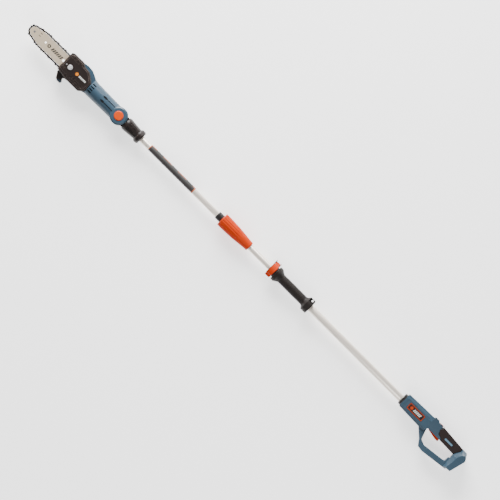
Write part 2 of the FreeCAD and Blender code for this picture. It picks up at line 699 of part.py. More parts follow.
def small_screw(x, y, head_low, head_high, tip):
    """Pan-head screw along Z; the head fills head_low to head_high."""
    shank = Part.makeCylinder(SCREW_SHANK, tip - head_high + 0.2, FreeCAD.Vector(x, y, head_high - 0.2))
    head = Part.makeCylinder(SCREW_HEAD, head_high - head_low, FreeCAD.Vector(x, y, head_low))
    drive = Part.makeBox(3.6, 0.9, 1, FreeCAD.Vector(x - 1.8, y - 0.45, head_low - 0.01))
    cross = Part.makeBox(0.9, 3.6, 1, FreeCAD.Vector(x - 0.45, y - 1.8, head_low - 0.01))
    return shank.fuse(head).cut(drive).cut(cross).removeSplitter()


def head_screws():
    screws = []
    for x, y in HEAD_SCREWS:
        floor, top = head_screw_span(x)
        screws.append(small_screw(x, y, floor - 0.3, floor + 1.95, top - 3))
    return group("head_screws", screws)


def oil_tank():
    body = new_body("oil_tank")
    outline = [(-961, -24, 3), (-914, -24, 3), (-914, 42, 4), (-945, 42, 4), (-950, 30, 4), (-961, 30, 3)]
    slab(body, "XY", outline, -27, -6)
    inner = [(-959, -22, 2), (-916, -22, 2), (-916, 40, 3), (-943, 40, 3), (-948, 28, 3), (-959, 28, 2)]
    slab(body, "XY", inner, -25, -8, cut=True)
    rods(body, "XY", [(-934, 20, 9)], -29.8, -25)
    rods(body, "XY", [(-934, 20, 7)], -31, -20, cut=True)
    return body


def oil_cap():
    body = new_body("oil_cap")
    turn(body, "Z", [(-37.4, 0), (-37.4, 11.5), (-36.6, 12.4), (-31, 12.4), (-31, 6.9), (-27, 6.9), (-27, 0)],
         (-934, 20))
    box(body, (-946, -922), (18.6, 21.4), (-38, -35), cut=True)
    return body


def oil_pump():
    body = new_body("oil_pump")
    slab(body, "XY", [(-911, -32, 2), (-893, -32, 2), (-893, -22.5, 2), (-911, -22.5, 2)], -22, -6)
    turn(body, "X", [(-923, 0), (-923, 2.2), (-910, 2.2), (-910, 0)], (-28, -14))
    return body


# ---------------------------------------------------------------- head drive

def gearbox_housing():
    body = new_body("gearbox_housing")
    box(body, (-908, -844), (-19, 21), (-31, -0.4))
    box(body, (-905, -849), (-16, 18), (-28.5, 5), cut=True)
    rods(body, "XY", [("drive_x", "bar_middle_y", 11)], -29, -23)
    rods(body, "XY", [("drive_x", "bar_middle_y", 8)], -28.6, 5, cut=True)
    rods(body, "YZ", [("bar_middle_y", "motor_z", 6.1)], -852, -840, cut=True)
    return body


def head_bearings():
    """Ball bearings: two on the drive spindle and two on the motor shaft."""
    up, along = FreeCAD.Vector(0, 0, 1), FreeCAD.Vector(1, 0, 0)
    seats = [(vector("drive_x", "bar_middle_y", low), up, 4, 7.95, 5.05) for low in (-28.4, 0.5)]
    seats += [(vector(front, "bar_middle_y", "motor_z"), along, 4, 6, 2.55) for front in (-848.5, -744.5)]
    rings = []
    for centre, axis, width, outer, inner in seats:
        ring = Part.makeCylinder(outer, width, centre, axis)
        rings.append(ring.cut(Part.makeCylinder(inner, width, centre, axis)))
    return group("head_bearings", rings)


GEAR_MODULE = 1.2
PINION_TEETH = 12
GEAR_TEETH = 20


def bevel_blank(teeth, mate_teeth, bore):
    """Bevel gear about +Z with its apex at the origin and its teeth facing the apex."""
    pitch = GEAR_MODULE * teeth / 2
    mate = GEAR_MODULE * mate_teeth / 2
    apex = math.hypot(pitch, mate)
    share = (apex - 5.0) / apex
    cone = math.atan2(pitch, mate)
    out, up = math.sin(cone), math.cos(cone)
    tall, deep = 0.75 * GEAR_MODULE, 1.05 * GEAR_MODULE

    def lifted(scale, height):
        return scale * pitch + height * up * scale, scale * mate - height * out * scale

    outer_root = lifted(1, -deep)
    inner_root = lifted(share, -deep)
    back = outer_root[1] + 3
    profile = [(bore, back), (outer_root[0], back), outer_root, inner_root, (bore, inner_root[1])]
    wire = Part.makePolygon([FreeCAD.Vector(r, 0, z) for r, z in profile + profile[:1]])
    blank = Part.Face(wire).revolve(FreeCAD.Vector(0, 0, 0), FreeCAD.Vector(0, 0, 1), 360)
    tooth = None
    for number in range(teeth):
        sections = []
        for scale in (1, share):
            ring = []
            for height, width in ((-deep - 0.25, 0.5), (tall, 0.24)):
                radius, level = lifted(scale, height)
                spread = width * GEAR_MODULE * math.pi / 2 * scale
                ring.append((radius, level, spread))
            (low_r, low_z, low_w), (top_r, top_z, top_w) = ring
            corners = [(low_r, -low_w, low_z), (low_r, low_w, low_z), (top_r, top_w, top_z), (top_r, -top_w, top_z)]
            sections.append(Part.makePolygon([FreeCAD.Vector(*corner) for corner in corners + corners[:1]]))
        if tooth is None:
            tooth = Part.makeLoft(sections, True, True)
        turned = tooth.copy()
        turned.rotate(FreeCAD.Vector(0, 0, 0), FreeCAD.Vector(0, 0, 1), 360 * number / teeth)
        blank = blank.fuse(turned)
    return blank


def bevel_gear():
    gear = bevel_blank(GEAR_TEETH, PINION_TEETH, size("spindle_radius") + 0.02)
    gear.rotate(FreeCAD.Vector(0, 0, 0), FreeCAD.Vector(1, 0, 0), 180)
    gear.translate(vector("drive_x", "bar_middle_y", "motor_z"))
    return group("bevel_gear", [gear])


def bevel_pinion():
    pinion = bevel_blank(PINION_TEETH, GEAR_TEETH, size("shaft_radius") + 0.02)
    pinion.rotate(FreeCAD.Vector(0, 0, 0), FreeCAD.Vector(0, 0, 1), 180 / PINION_TEETH)
    pinion.rotate(FreeCAD.Vector(0, 0, 0), FreeCAD.Vector(0, 1, 0), 90)
    pinion.translate(vector("drive_x", "bar_middle_y", "motor_z"))
    return group("bevel_pinion", [pinion])


def drive_spindle():
    body = new_body("drive_spindle")
    turn(body, "Z", [(-28.3, 0), (-28.3, "spindle_radius"), (26.5, "spindle_radius"), (27, 4.5), (27, 0)],
         ("drive_x", "bar_middle_y"))
    return body


def drive_sprocket():
    centre = size("drive_x")
    plane = size("bar_plane")
    wheel = star(centre, 6, 9.6, 13.4, plane - 0.75, plane + 0.75, size("spindle_radius") + 0.02)
    middle = size("bar_middle_y")
    bore = Part.makeCylinder(size("spindle_radius") + 0.02, 30, FreeCAD.Vector(centre, middle, 0))
    for low, high, radius in ((plane - 0.7 - 9, plane - 0.7, 8.4), (plane + 0.7, plane + 4, 8.4)):
        wheel = wheel.fuse(Part.makeCylinder(radius, high - low, FreeCAD.Vector(centre, middle, low)))
    return group("drive_sprocket", [wheel.cut(bore).removeSplitter()])


def motor_can():
    body = new_body("motor_can")
    middle = "bar_middle_y"
    turn(body, "X", [("motor_front", 8), ("motor_front", "motor_radius"), ("motor_rear", "motor_radius"),
                     ("motor_rear", 0), ("motor_rear - 2", 0), ("motor_rear - 2", 17.6),
                     ("motor_front + 2", 17.6), ("motor_front + 2", 8)], (middle, "motor_z"))
    rods(body, "YZ", [(middle, "motor_z", 8.5)], "motor_rear - 7", "motor_rear - 1")
    rods(body, "YZ", [(middle, "motor_z", 6.05)], "motor_rear - 12", "motor_rear - 2", cut=True)
    return body


def motor_magnets():
    """Two arc magnets glued inside the can."""
    front, rear = size("motor_front") + 8, size("motor_rear") - 14
    start = vector(front, "bar_middle_y", "motor_z")
    along = FreeCAD.Vector(1, 0, 0)
    ring = Part.makeCylinder(17.5, rear - front, start, along).cut(Part.makeCylinder(14.2, rear - front, start, along))
    gap = Part.makeBox(rear - front + 2, 60, 8, vector(front - 1, -30, "motor_z - 4"))
    return group("motor_magnets", ring.cut(gap).Solids)


def motor_armature():
    """Shaft, winding stack and commutator, turning as one piece."""
    body = new_body("motor_armature")
    front, rear = "motor_front + 9", "motor_rear - 16"
    shaft = "shaft_radius"
    turn(body, "X", [(-879, 0), (-879, shaft), (f"{front} - 3", shaft), (f"{front} - 3", 9.5), (front, 9.5),
                     (front, 13.6), (rear, 13.6), (rear, 9.5), (f"{rear} + 2", 9.5), (f"{rear} + 2", 5.6),
                     (f"{rear} + 7", 5.6), (f"{rear} + 7", shaft), ("motor_rear - 2.2", shaft),
                     ("motor_rear - 2.2", 0)], ("bar_middle_y", "motor_z"))
    slot = box(body, (f"{front} - 4", f"{rear} + 1"), ("bar_middle_y + 10.5", "bar_middle_y + 16"),
               ("motor_z - 1", "motor_z + 1"), cut=True)
    spin = new_sketch(body, "YZ", ("bar_middle_y", "motor_z", 0))
    ring_pattern(body, slot, 8, spin)
    return body


def cooling_fan():
    body = new_body("cooling_fan")
    bore = size("shaft_radius") + 0.02
    turn(body, "X", [(-812, bore), (-812, 18.5), (-810.6, 18.5), (-810.6, 6), (-804, 6), (-804, bore)],
         ("bar_middle_y", "motor_z"))
    blade = box(body, (-811, -804), ("bar_middle_y + 5.5", "bar_middle_y + 18"), ("motor_z - 0.7", "motor_z + 0.7"))
    spin = new_sketch(body, "YZ", ("bar_middle_y", "motor_z", 0))
    ring_pattern(body, blade, 9, spin)
    return body


# ---------------------------------------------------------------- tilting knuckle

def pivot_axle():
    body = new_body("pivot_axle")
    turn(body, "Z", [(-29, 0), (-29, 9), (-25.05, 9), (-25.05, "axle_radius"), (18.5, "axle_radius"), (18.5, 0)],
         ("pivot_x", 0))
    box(body, (-690, -672), (-1.2, 1.2), (-30, -27.6), cut=True)
    return body


def pivot_button():
    body = new_body("pivot_button")
    turn(body, "Z", [(25, 13), (25, "button_radius"), (31.5, "button_radius"), ("button_face", "button_radius - 2"),
                     ("button_face", 0), (28.5, 0), (28.5, 13)], ("pivot_x", 0))
    return body


def coil(radius, wire, pitch, height, base, direction):
    """Round-wire compression spring standing on 'base' along 'direction'."""
    helix = Part.makeHelix(pitch, height - 2 * wire, radius)
    circle = Part.Wire([Part.Circle(FreeCAD.Vector(radius, 0, 0), FreeCAD.Vector(0, 1, 0), wire).toShape()])
    solid = Part.Wire(helix.Edges).makePipeShell([circle], True, True)
    solid.translate(FreeCAD.Vector(0, 0, wire))
    solid.Placement = FreeCAD.Placement(base, FreeCAD.Rotation(FreeCAD.Vector(0, 0, 1), direction)) \
        .multiply(solid.Placement)
    return solid


def button_spring():
    """Flat-wire spring under the button, which needs little height."""
    helix = Part.makeHelix(2.6, 7.8, 10.5)
    section = [FreeCAD.Vector(10.5 + x, 0, z) for x, z in ((-0.8, -0.5), (0.8, -0.5), (0.8, 0.5), (-0.8, 0.5))]
    spring = Part.Wire(helix.Edges).makePipeShell([Part.makePolygon(section + section[:1])], True, True)
    spring.translate(vector("pivot_x", 0, 19.8))
    return group("button_spring", [spring])


def pivot_socket():
    body = new_body("pivot_socket")
    tongue = [("-tongue_half", "axle_radius + fit_gap"), ("-tongue_half", "tongue_radius"),
              ("tongue_half", "tongue_radius"), ("tongue_half", "axle_radius + fit_gap")]
    turn(body, "Z", tongue, ("pivot_x", 0))
    box(body, (-681, -640), (-22, 22), ("-tongue_half", "tongue_half"))
    turn(body, "X", [(-644, 0), (-644, 25.5), (-636, 26.5), (-591, 22.5), (-583, 21.5), (-583, 24), (-577, 28),
                     (-567, 28), (-561, 24), (-561, 0)])
    rods(body, "XY", [("pivot_x", 0, "axle_radius + fit_gap")], -20, 20, cut=True)
    turn(body, "X", [("upper_front - 1", 0), ("upper_front - 1", "upper_radius + fit_gap"),
                     (-560, "upper_radius + fit_gap"), (-560, 0)], cut=True)
    for level in (-14, -7, 7, 14):
        box(body, (-632, -596), (level - 1.5, level + 1.5), (17.5, 40), cut=True)
        box(body, (-632, -596), (level - 1.5, level + 1.5), (-40, -17.5), cut=True)
    return body


# ---------------------------------------------------------------- pole

def tube(name, front, rear, radius):
    body = new_body(name)
    turn(body, "X", [(front, f"{radius} - tube_wall"), (front, radius), (rear, radius),
                     (rear, f"{radius} - tube_wall")])
    return body


def upper_tube():
    return tube("upper_tube", "upper_front", "upper_rear", "upper_radius")


def inner_tube():
    return tube("inner_tube", "inner_front", "inner_rear", "upper_radius")


def outer_tube():
    body = tube("outer_tube", "outer_front", "outer_rear", "outer_radius")
    box(body, ("outer_front - 1", 148), (-30, 30), (-1, 1), cut=True)
    return body


def tube_label():
    body = new_body("tube_label")
    turn(body, "X", [("label_front", "upper_radius + 0.03"), ("label_front", "upper_radius + 0.4"),
                     ("label_rear", "upper_radius + 0.4"), ("label_rear", "upper_radius + 0.03")])
    return body


def coupling_spigot():
    body = new_body("coupling_spigot")
    seat = "upper_radius + fit_gap"
    turn(body, "X", [(-158, seat), (-158, 14.8), (-157, 15.75), (-126, 15.75), (-126, 20), (-114, 20), (-114, 17.3),
                     (-101.5, 17.3), (-101.5, 13.1), (-25, 13.1), (-25, 9), ("upper_rear + 0.5", 9),
                     ("upper_rear + 0.5", seat)])
    return body


def coupling_receiver():
    body = new_body("coupling_receiver")
    turn(body, "X", [(-100.5, 13.15), (-100.5, 17.5), (11, 17.5), (11, "upper_radius + fit_gap"),
                     ("inner_front - 0.5", "upper_radius + fit_gap"), ("inner_front - 0.5", 13.15)])
    return body


def coupling_sleeve():
    body = new_body("coupling_sleeve")
    turn(body, "X", [(-134, 16.2), (-134, 26), (-131, 27.5), (-112, 27.6), (-92, 26.8), (-62, 25.4), (-28, 22.2),
                     (-4, 19.6), (11, 18.9), (13, 18.2), (13, 17.6), (-100, 17.6), (-100, 20.6), (-128, 20.6),
                     (-128, 16.2)])
    flute = rods(body, "YZ", [(31.5, 0, 5.6)], -140, 20, cut=True)
    ring_pattern(body, flute, 16)
    return body


def inner_tube_guide():
    body = new_body("inner_tube_guide")
    turn(body, "X", [(664, "upper_radius + 0.02"), (664, "outer_radius - tube_wall - 0.06"),
                     ("inner_rear", "outer_radius - tube_wall - 0.06"), ("inner_rear", "upper_radius + 0.02")])
    return body


def front_bushing():
    body = new_body("front_bushing")
    outer = "outer_radius - tube_wall - 0.02"
    turn(body, "X", [("outer_front", "upper_radius + 0.06"), ("outer_front", outer), (164, outer),
                     (164, "upper_radius + 0.06")])
    return body


# ---------------------------------------------------------------- pole clamp

def clamp_collar():
    """Split collar with two ears for the lever's pin and two lugs for the adjusting bolt."""
    body = new_body("clamp_collar")
    rods(body, "YZ", [(0, 0, "collar_radius")], "clamp_front", "grip_front - 0.2")
    ear = [(10, -8, 0), (33, -8, 6), (38.5, -4, 5), (38.5, 4, 5), (33, 8, 6), (10, 8, 0)]
    slab(body, "YZ", ear, "clamp_front", "clamp_rear")
    box(body, (128, 140), (-31.5, -15), (-7, 7))
    rods(body, "YZ", [(0, 0, "outer_radius + fit_gap")], 120, 155, cut=True)
    box(body, (124.4, 143.8), (20.4, 45), (-12, 12), cut=True)
    box(body, (120, 155), (-40, -10), (-1, 1), cut=True)
    rods(body, "YZ", [("lever_pin_y", 0, "small_pin + 1.02")], 120, 150, cut=True)
    rods(body, "XY", [(134, -27, 2.1)], -12, 12, cut=True)
    return body


def clamp_lever():
    """Cam lever that wraps round the collar's left side."""
    body = new_body("clamp_lever")
    rods(body, "YZ", [("lever_pin_y", 0, 5.6)], 124.8, 143.4)
    outer, inner = 27.2, 22.6
    points = []
    for radius, angles in ((outer, range(34, 155, 6)), (inner, range(154, 33, -6))):
        for angle in angles:
            points.append((radius * math.cos(math.radians(angle)), radius * math.sin(math.radians(angle))))
    slab(body, "YZ", points, 123, 145.2)
    slab(body, "YZ", [(33.6, 2.5), (points[2][0], points[2][1] - 0.3), (points[-3][0], points[-3][1] + 0.3),
                      (24.6, 3.6)], 124.8, 143.4)
    slab(body, "YZ", [(-20.6, 10.4), (-30.6, 10.4), (-30.6, 12.2), (-27, 14), (-22.4, 15.4)], 123, 145.2)
    rods(body, "YZ", [("lever_pin_y", 0, "small_pin + 1.05")], 120, 150, cut=True)
    return body


def clamp_hardware():
    """Lever pin, and the adjusting bolt across the collar's split with its nut."""
    pin = Part.makeCylinder(2.5, 24, vector("clamp_front + 0.3", "lever_pin_y", 0), FreeCAD.Vector(1, 0, 0))
    across = FreeCAD.Vector(0, 0, 1)
    shank = Part.makeCylinder(2, 19, FreeCAD.Vector(134, -27, -9.5), across)
    head = Part.makeCylinder(3.8, 2.4, FreeCAD.Vector(134, -27, -9.5), across)
    nut = Part.makeCylinder(3.8, 2.3, FreeCAD.Vector(134, -27, 7.1), across)
    nut = nut.cut(Part.makeCylinder(2.02, 4, FreeCAD.Vector(134, -27, 6.8), across))
    return group("clamp_hardware", [pin, shank.fuse(head), nut])


def foregrip():
    body = new_body("foregrip")
    bore = "outer_radius + fit_gap"
    turn(body, "X", [("grip_front", bore), ("grip_front", "grip_flange - 3"), ("grip_front + 2", "grip_flange"),
                     ("grip_front + 14", "grip_flange"), (172, 24), (181, 18.6), (240, 19.1), (298, 18.6),
                     (303, 20), (309, 27), ("grip_rear - 24", "grip_flange"), ("grip_rear - 2", "grip_flange"),
                     ("grip_rear", "grip_flange - 2"), ("grip_rear", bore)])
    for low, high in ((5, 40), (-40, -5)):
        box(body, (312, "grip_rear + 1"), (15.8, 40), (low, high), cut=True)
    rods(body, "XY", [("eyelet_x", "eyelet_y", "eyelet_radius")], -20, 20, cut=True)
    for x in range(190, 296, 8):
        turn(body, "X", [(x, 18.2), (x, 22), (x + 1.6, 22), (x + 1.6, 18.2)], cut=True)
    return body


# ---------------------------------------------------------------- handle

HOUSING = [(829, -25, 6), (829, 34, 7), (958, 37.4, 2), (962, 43, 3), (977, 43, 3), (982, 37.6, 2), (1003, 37.2, 0),
           (1003, -9, 0), (966, -9, 0), (958, -27, 0), (935, -28, 10)]
HOUSING_CAVITY = [(832, -22, 3), (832, 30, 3), (950, 33, 2), (950, -12, 3), (944, -24, 3)]
REAR_CAVITY = [(949, -5, 2), (949, 33, 2), (1001, 34, 0), (1001, -5, 0)]
LOOP = [(922, -15, 0), (971, -59.5, 16), (988, -82.6, 9), (1011, -85.6, 7), (1130, -70, 0), (1130, -30, 0),
        (1098.1, -30, 0), (1096, -51.5, 9), (1001, -63.5, 9), (979, -54.5, 9), (967, -22, 5), (965, -12, 0)]
LOOP_OPENING = [(966, -9, 3), (967, -22, 6), (979, -54.5, 9), (1001, -63.5, 9), (1096, -51.5, 9), (1100, -9, 5)]
GRIP_CORE = [(1000, -7), (1000, 35), (1118, 26.4), (1118, -9)]
GRIP_CAVITY = [(1000, -4), (1000, 32), (1112, 23.6), (1112, -6)]
FOOT_CAVITY = [(1109, -14), (1127, -14), (1129, 2), (1130, 14), (1109, 19)]
GRIP_CHIN = [(1000, 20.5), (1002.4, 20.5), (1009.4, 3.4), (1024.4, -0.6), (1032.5, -9), (1000, -9)]
SLEEVE = [(1010, 36.6), (1003.2, 21), (1010, 4), (1025, 0), (1033.4, -9.2), (1100, -11), (1108, 4), (1115, 15),
          (1115, 28.4)]
FOOT_LOW = [(1116, 28.5, 0), (1139, 28, 9), (1155.2, 0, 12), (1138, -67, 4), (1106, -71, 4), (1101.8, -11.8, 2),
            (1109.2, 4, 0), (1116, 15, 0)]
FOOT_HIGH = [(1135.5, 15, 0), (1146, 14, 9), (1153, 0, 12), (1136.4, -65, 4), (1116, -65, 4), (1120.5, -12, 2),
             (1123, -1, 0), (1128, 8, 0)]
HANDLE_SCREWS = [(846, -20, 20), (846, 25, 17.5), (944, -20, 20), (944, 27, 17), (992, -74, 11), (1104, -63, 11),
                 (1116, 18, 12)]


def mirrored(side, low, high):
    """Z range of a feature in the left half (side +1) or its mirror image in the right half."""
    if side > 0:
        return low, high
    return f"-({high})", f"-({low})"


def handle_shell(side):
    """One half of the handle; side is +1 for the left half and -1 for the right."""
    body = new_body("handle_shell_left" if side > 0 else "handle_shell_right")
    slab(body, "XY", LOOP, *mirrored(side, 0, "loop_half"))
    bevel_edges(body, 2.5, at_level(size("loop_half") * side))
    slab(body, "XY", HOUSING, *mirrored(side, 0, "handle_half"))
    taper = [(952, 24.1 * side), (1004, 17.0 * side), (1004, 26 * side), (952, 26 * side)]
    slab(body, "XZ", taper, -60, 60, cut=True)
    bevel = [(18, 24.05 * side), (38.5, 14 * side), (50, 9 * side), (50, 26 * side), (18, 26 * side)]
    slab(body, "YZ", bevel, 820, 958, cut=True)
    chin = [(-17, 24.05 * side), (-30, 17 * side), (-40, 12 * side), (-40, 26 * side), (-17, 26 * side)]
    slab(body, "YZ", chin, 820, 975, cut=True)
    slab(body, "XY", GRIP_CORE, *mirrored(side, 0, "core_half"))
    slab(body, "XY", GRIP_CHIN, *mirrored(side, 0, "rear_grip_half"))
    handle_foot(body, side)
    slab(body, "XY", LOOP_OPENING, -45, 45, cut=True)
    slab(body, "XY", HOUSING_CAVITY, *mirrored(side, -1, "handle_half - shell_wall"), cut=True)
    slab(body, "XY", REAR_CAVITY, *mirrored(side, -1, 14.2), cut=True)
    slab(body, "XY", GRIP_CAVITY, *mirrored(side, -1, "core_half - shell_wall"), cut=True)
    slab(body, "XY", FOOT_CAVITY, *mirrored(side, -1, 12.5), cut=True)
    slab(body, "XY", [(1123, -14.5), (1145, -14.5), (1145, 5), (1123, 5)], *mirrored(side, -1, 15.5), cut=True)
    top_wall = [(17, 24 * side), (17, 21.4 * side), (33.5, 13.5 * side), (33.5, 16.4 * side)]
    slab(body, "YZ", top_wall, 830, 952)
    chin_wall = [(-17, 24 * side), (-17, 21 * side), (-24, 17.3 * side), (-24, 20.2 * side)]
    slab(body, "YZ", chin_wall, 836, 948)
    rib = [(-23, 0), (-23, 18 * side), (-17, 22 * side), (16, 22 * side), (26, 17.5 * side), (31.5, 14 * side),
           (31.5, 0)]
    for x in (836, 868, 896):
        slab(body, "YZ", rib, x, x + 4)
    handle_bosses(body, side)
    turn(body, "X", [(820, 0), (820, "outer_radius + fit_gap"), ("outer_rear + 1", "outer_radius + fit_gap"),
                     ("outer_rear + 1", 0)], cut=True)
    slab(body, "XY", [(968, -13), (1032, -13), (1032, 2), (968, 2)], *mirrored(side, -1, 6.6), cut=True)
    box(body, (987.4, 1003.4), (30, 45), mirrored(side, -1, 4.2), cut=True)
    if side > 0:
        box(body, (852.7, 930.3), (-11.3, 16.3), ("handle_half - 0.7", 30), cut=True)
        line = [(838.5, -15.5), (840, -15.5), (840, 16.4), (843, 18.6), (951, 20.2), (951, 21.8), (842.4, 20.2),
                (838.5, 17.2)]
        slab(body, "XY", line, "handle_half - 2.6", 30, cut=True)
    return body


def handle_foot(body, side):
    """Battery foot: a thin root, then a loft out to the flat side block, then the dock cut from behind."""
    slab(body, "XY", FOOT_LOW, *mirrored(side, 0, 15))
    low = new_sketch(body, "XY", (0, 0, 14.9 * side))
    draw_rounded(low, FOOT_LOW)
    high = new_sketch(body, "XY", (0, 0, "foot_half" if side > 0 else "-foot_half"))
    draw_rounded(high, FOOT_HIGH)
    loft = body.newObject("PartDesign::AdditiveLoft", body.Name + "_foot")
    loft.Profile = low
    loft.Sections = [high]
    loft.Ruled = True
    body.Tip = loft
    dock = [(1137, 6), (1165, 6), (1165, -75), (1118, -75)]
    slab(body, "XY", dock, *mirrored(side, -1, "dock_half"), cut=True)
    rail = [(1146.4, 2), (1150.6, 2), (1135.4, -64), (1131.2, -64)]
    slab(body, "XY", rail, *mirrored(side, "dock_half - 4", "dock_half + 1"))


def handle_bosses(body, side):
    """Screw bosses, and the bearing bosses of the trigger pin."""
    for x, y, reach in HANDLE_SCREWS:
        rods(body, "XY", [(x, y, 4)], *mirrored(side, 0, reach))
        rods(body, "XY", [(x, y, "small_pin + 0.1")], *mirrored(side, -1, reach - 2.5 if side > 0 else 40), cut=True)
        if side < 0:
            rods(body, "XY", [(x, y, SCREW_HEAD + 0.3)], -40, 1.0 - reach, cut=True)
    rods(body, "XY", [("trigger_x", "trigger_y", 4)], *mirrored(side, 7, 14.5))
    rods(body, "XY", [("trigger_x", "trigger_y", "small_pin + 0.02")], *mirrored(side, -1, 13), cut=True)


def handle_screws():
    screws = []
    for x, y, reach in HANDLE_SCREWS:
        screws.append(small_screw(x, y, -1.4 - reach, 0.95 - reach, reach - 4))
    return group("handle_screws", screws)


def rear_grip_sleeve():
    body = new_body("rear_grip_sleeve")
    slab(body, "XY", SLEEVE, "-rear_grip_half", "rear_grip_half")
    bevel_edges(body, 1.5, at_level(size("rear_grip_half")))
    bevel_edges(body, 1.5, at_level(-size("rear_grip_half")))
    hollow = [(998, -7.15), (998, 35.3), (1122, 26.3), (1122, -9.1)]
    slab(body, "XY", hollow, "-core_half - 0.1", "core_half + 0.1", cut=True)
    box(body, (1039.8, 1078.2), (5.3, 12.7), ("rear_grip_half - 0.7", 20), cut=True)
    return body


def grip_inlay():
    body = new_body("grip_inlay")
    slab(body, "XY", [(1040, 5.5, 2), (1078, 5.5, 2), (1078, 12.5, 2), (1040, 12.5, 2)],
         "rear_grip_half - 0.65", "rear_grip_half + 0.1")
    return body


def handle_badge():
    body = new_body("handle_badge")
    slab(body, "XY", [(853, -11, 3), (930, -11, 3), (930, 16, 3), (853, 16, 3)],
         "handle_half - 0.65", "handle_half + 0.3")
    return body


def tube_boot():
    body = new_body("tube_boot")
    rods(body, "YZ", [(3, 0, 24)], "boot_front", "handle_front - 0.2")
    rods(body, "YZ", [(0, 0, "outer_radius + fit_gap")], 810, 840, cut=True)
    return body


def trigger():
    body = new_body("trigger")
    outline = [(970.5, 0, 2), (982, 1, 0), (1024, -3, 1), (1026.5, -12, 2), (1026.5, -19, 3), (1012, -18.6, 6),
               (976, -11.4, 3), (970.5, -9, 2)]
    slab(body, "XY", outline, "-trigger_half", "trigger_half")
    rods(body, "XY", [("trigger_x", "trigger_y", "small_pin + 0.05")], -10, 10, cut=True)
    return body


def trigger_pin():
    body = new_body("trigger_pin")
    turn(body, "Z", [(-12.8, 0), (-12.8, "small_pin"), (12.8, "small_pin"), (12.8, 0)], ("trigger_x", "trigger_y"))
    return body


def power_switch():
    """Switch with its plunger, and the bracket that both hand springs push against."""
    body = new_body("power_switch")
    box(body, (1006, 1030), (12, 27), (-7, 7))
    box(body, (1012, 1020), (7.5, 13), (-3, 3))
    box(body, (972, 1008), (14.2, 16.2), (-6, 6))
    box(body, (972, 974), (15, 31), (-6, 6))
    return body


def trigger_spring():
    spring = coil(2.6, 0.45, 2.2, 13.6, FreeCAD.Vector(1003, 0.1, 0), FreeCAD.Vector(0, 1, 0))
    return group("trigger_spring", [spring])


def lock_off_slider():
    body = new_body("lock_off_slider")
    slab(body, "XY", [(987, 37.9, 0), (987, 39.4, 1), (1012, 39.4, 1), (1012, 37.9, 0)], -6.5, 6.5)
    box(body, (992, 1003), (22, 38), (-4, 4))
    for x in range(989, 1011, 3):
        box(body, (x, x + 1), (39, 40), (-7, 7), cut=True)
    return body


def lock_off_spring():
    spring = coil(2.6, 0.45, 2.4, 17.6, FreeCAD.Vector(974.2, 26, 0), FreeCAD.Vector(1, 0, 0))
    return group("lock_off_spring", [spring])


def control_board():
    body = new_body("control_board")
    box(body, (910, 946), (-14, 14), (-10, -8.4))
    for x, y in ((914, -10), (926, -10), (914, 4)):
        box(body, (x, x + 8), (y, y + 8), (-8.5, -3))
    return body


def battery_terminal_block():
    body = new_body("battery_terminal_block")
    slab(body, "XY", [(1123.5, -14), (1132, -14), (1136.2, 4.5), (1123.5, 4.5)], -15, 15)
    box(body, (1114, 1124), (-10, 2), (-9, 9))
    return body


def terminal_blades():
    """Three flat blades that the battery slides onto."""
    blades = []
    for level in (-10, 0, 10):
        points = [(1133.3, -10), (1143, -10), (1145, -1), (1135.3, -1)]
        blades.append(plate(points, [], level - 0.4, level + 0.4))
    return group("terminal_blades", blades)


# ---------------------------------------------------------------- build and export

BUILDERS = [
    (handle_shell, 1), (handle_shell, -1), (handle_screws,), (rear_grip_sleeve,), (grip_inlay,), (handle_badge,),
    (tube_boot,), (outer_tube,), (front_bushing,), (foregrip,), (clamp_collar,),
    (clamp_hardware,), (clamp_lever,), (trigger,), (trigger_pin,), (trigger_spring,),
    (lock_off_slider,), (lock_off_spring,), (power_switch,), (control_board,), (battery_terminal_block,),
    (terminal_blades,), (inner_tube,), (inner_tube_guide,), (coupling_receiver,), (coupling_sleeve,),
    (coupling_spigot,), (upper_tube,), (tube_label,), (pivot_socket,), (pivot_axle,),
    (pivot_button,), (button_spring,), (head_shell, 1), (head_shell, -1), (head_screws,), (sprocket_cover,),
    (cover_badge,), (branch_hook,), (guide_bar,), (chain,), (nose_sprocket,), (nose_rivet,),
    (bar_stud,), (bar_nut,), (tension_pin,), (tension_screw,), (oil_tank,), (oil_cap,), (oil_pump,),
    (gearbox_housing,), (head_bearings,), (drive_spindle,),
    (bevel_gear,), (bevel_pinion,), (drive_sprocket,), (motor_can,), (motor_magnets,), (motor_armature,),
    (cooling_fan,),
]


def main():
    parts = [builder[0](*builder[1:]) for builder in BUILDERS]
    DOC.recompute()
    for obj in DOC.Objects:
        if "Invalid" in obj.State or "Error" in obj.State:
            raise RuntimeError(f"{obj.Label} did not recompute: {obj.State}")
    os.makedirs("parts", exist_ok=True)
    for part in parts:
        if part.Shape.isNull() or not part.Shape.isValid():
            raise RuntimeError(f"{part.Label} is not a valid shape")
        part.Shape.exportStep(f"parts/{part.Label}.step")


main()
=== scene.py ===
"""Looks of the telescoping pole saw: finishes, softened edges, turned surfaces, light and camera."""
import json
import logging
import math
from dataclasses import dataclass, field
from enum import Enum
from typing import Any, Callable, Sequence

import bmesh
import bpy
import numpy as np
from mathutils import Matrix, Vector


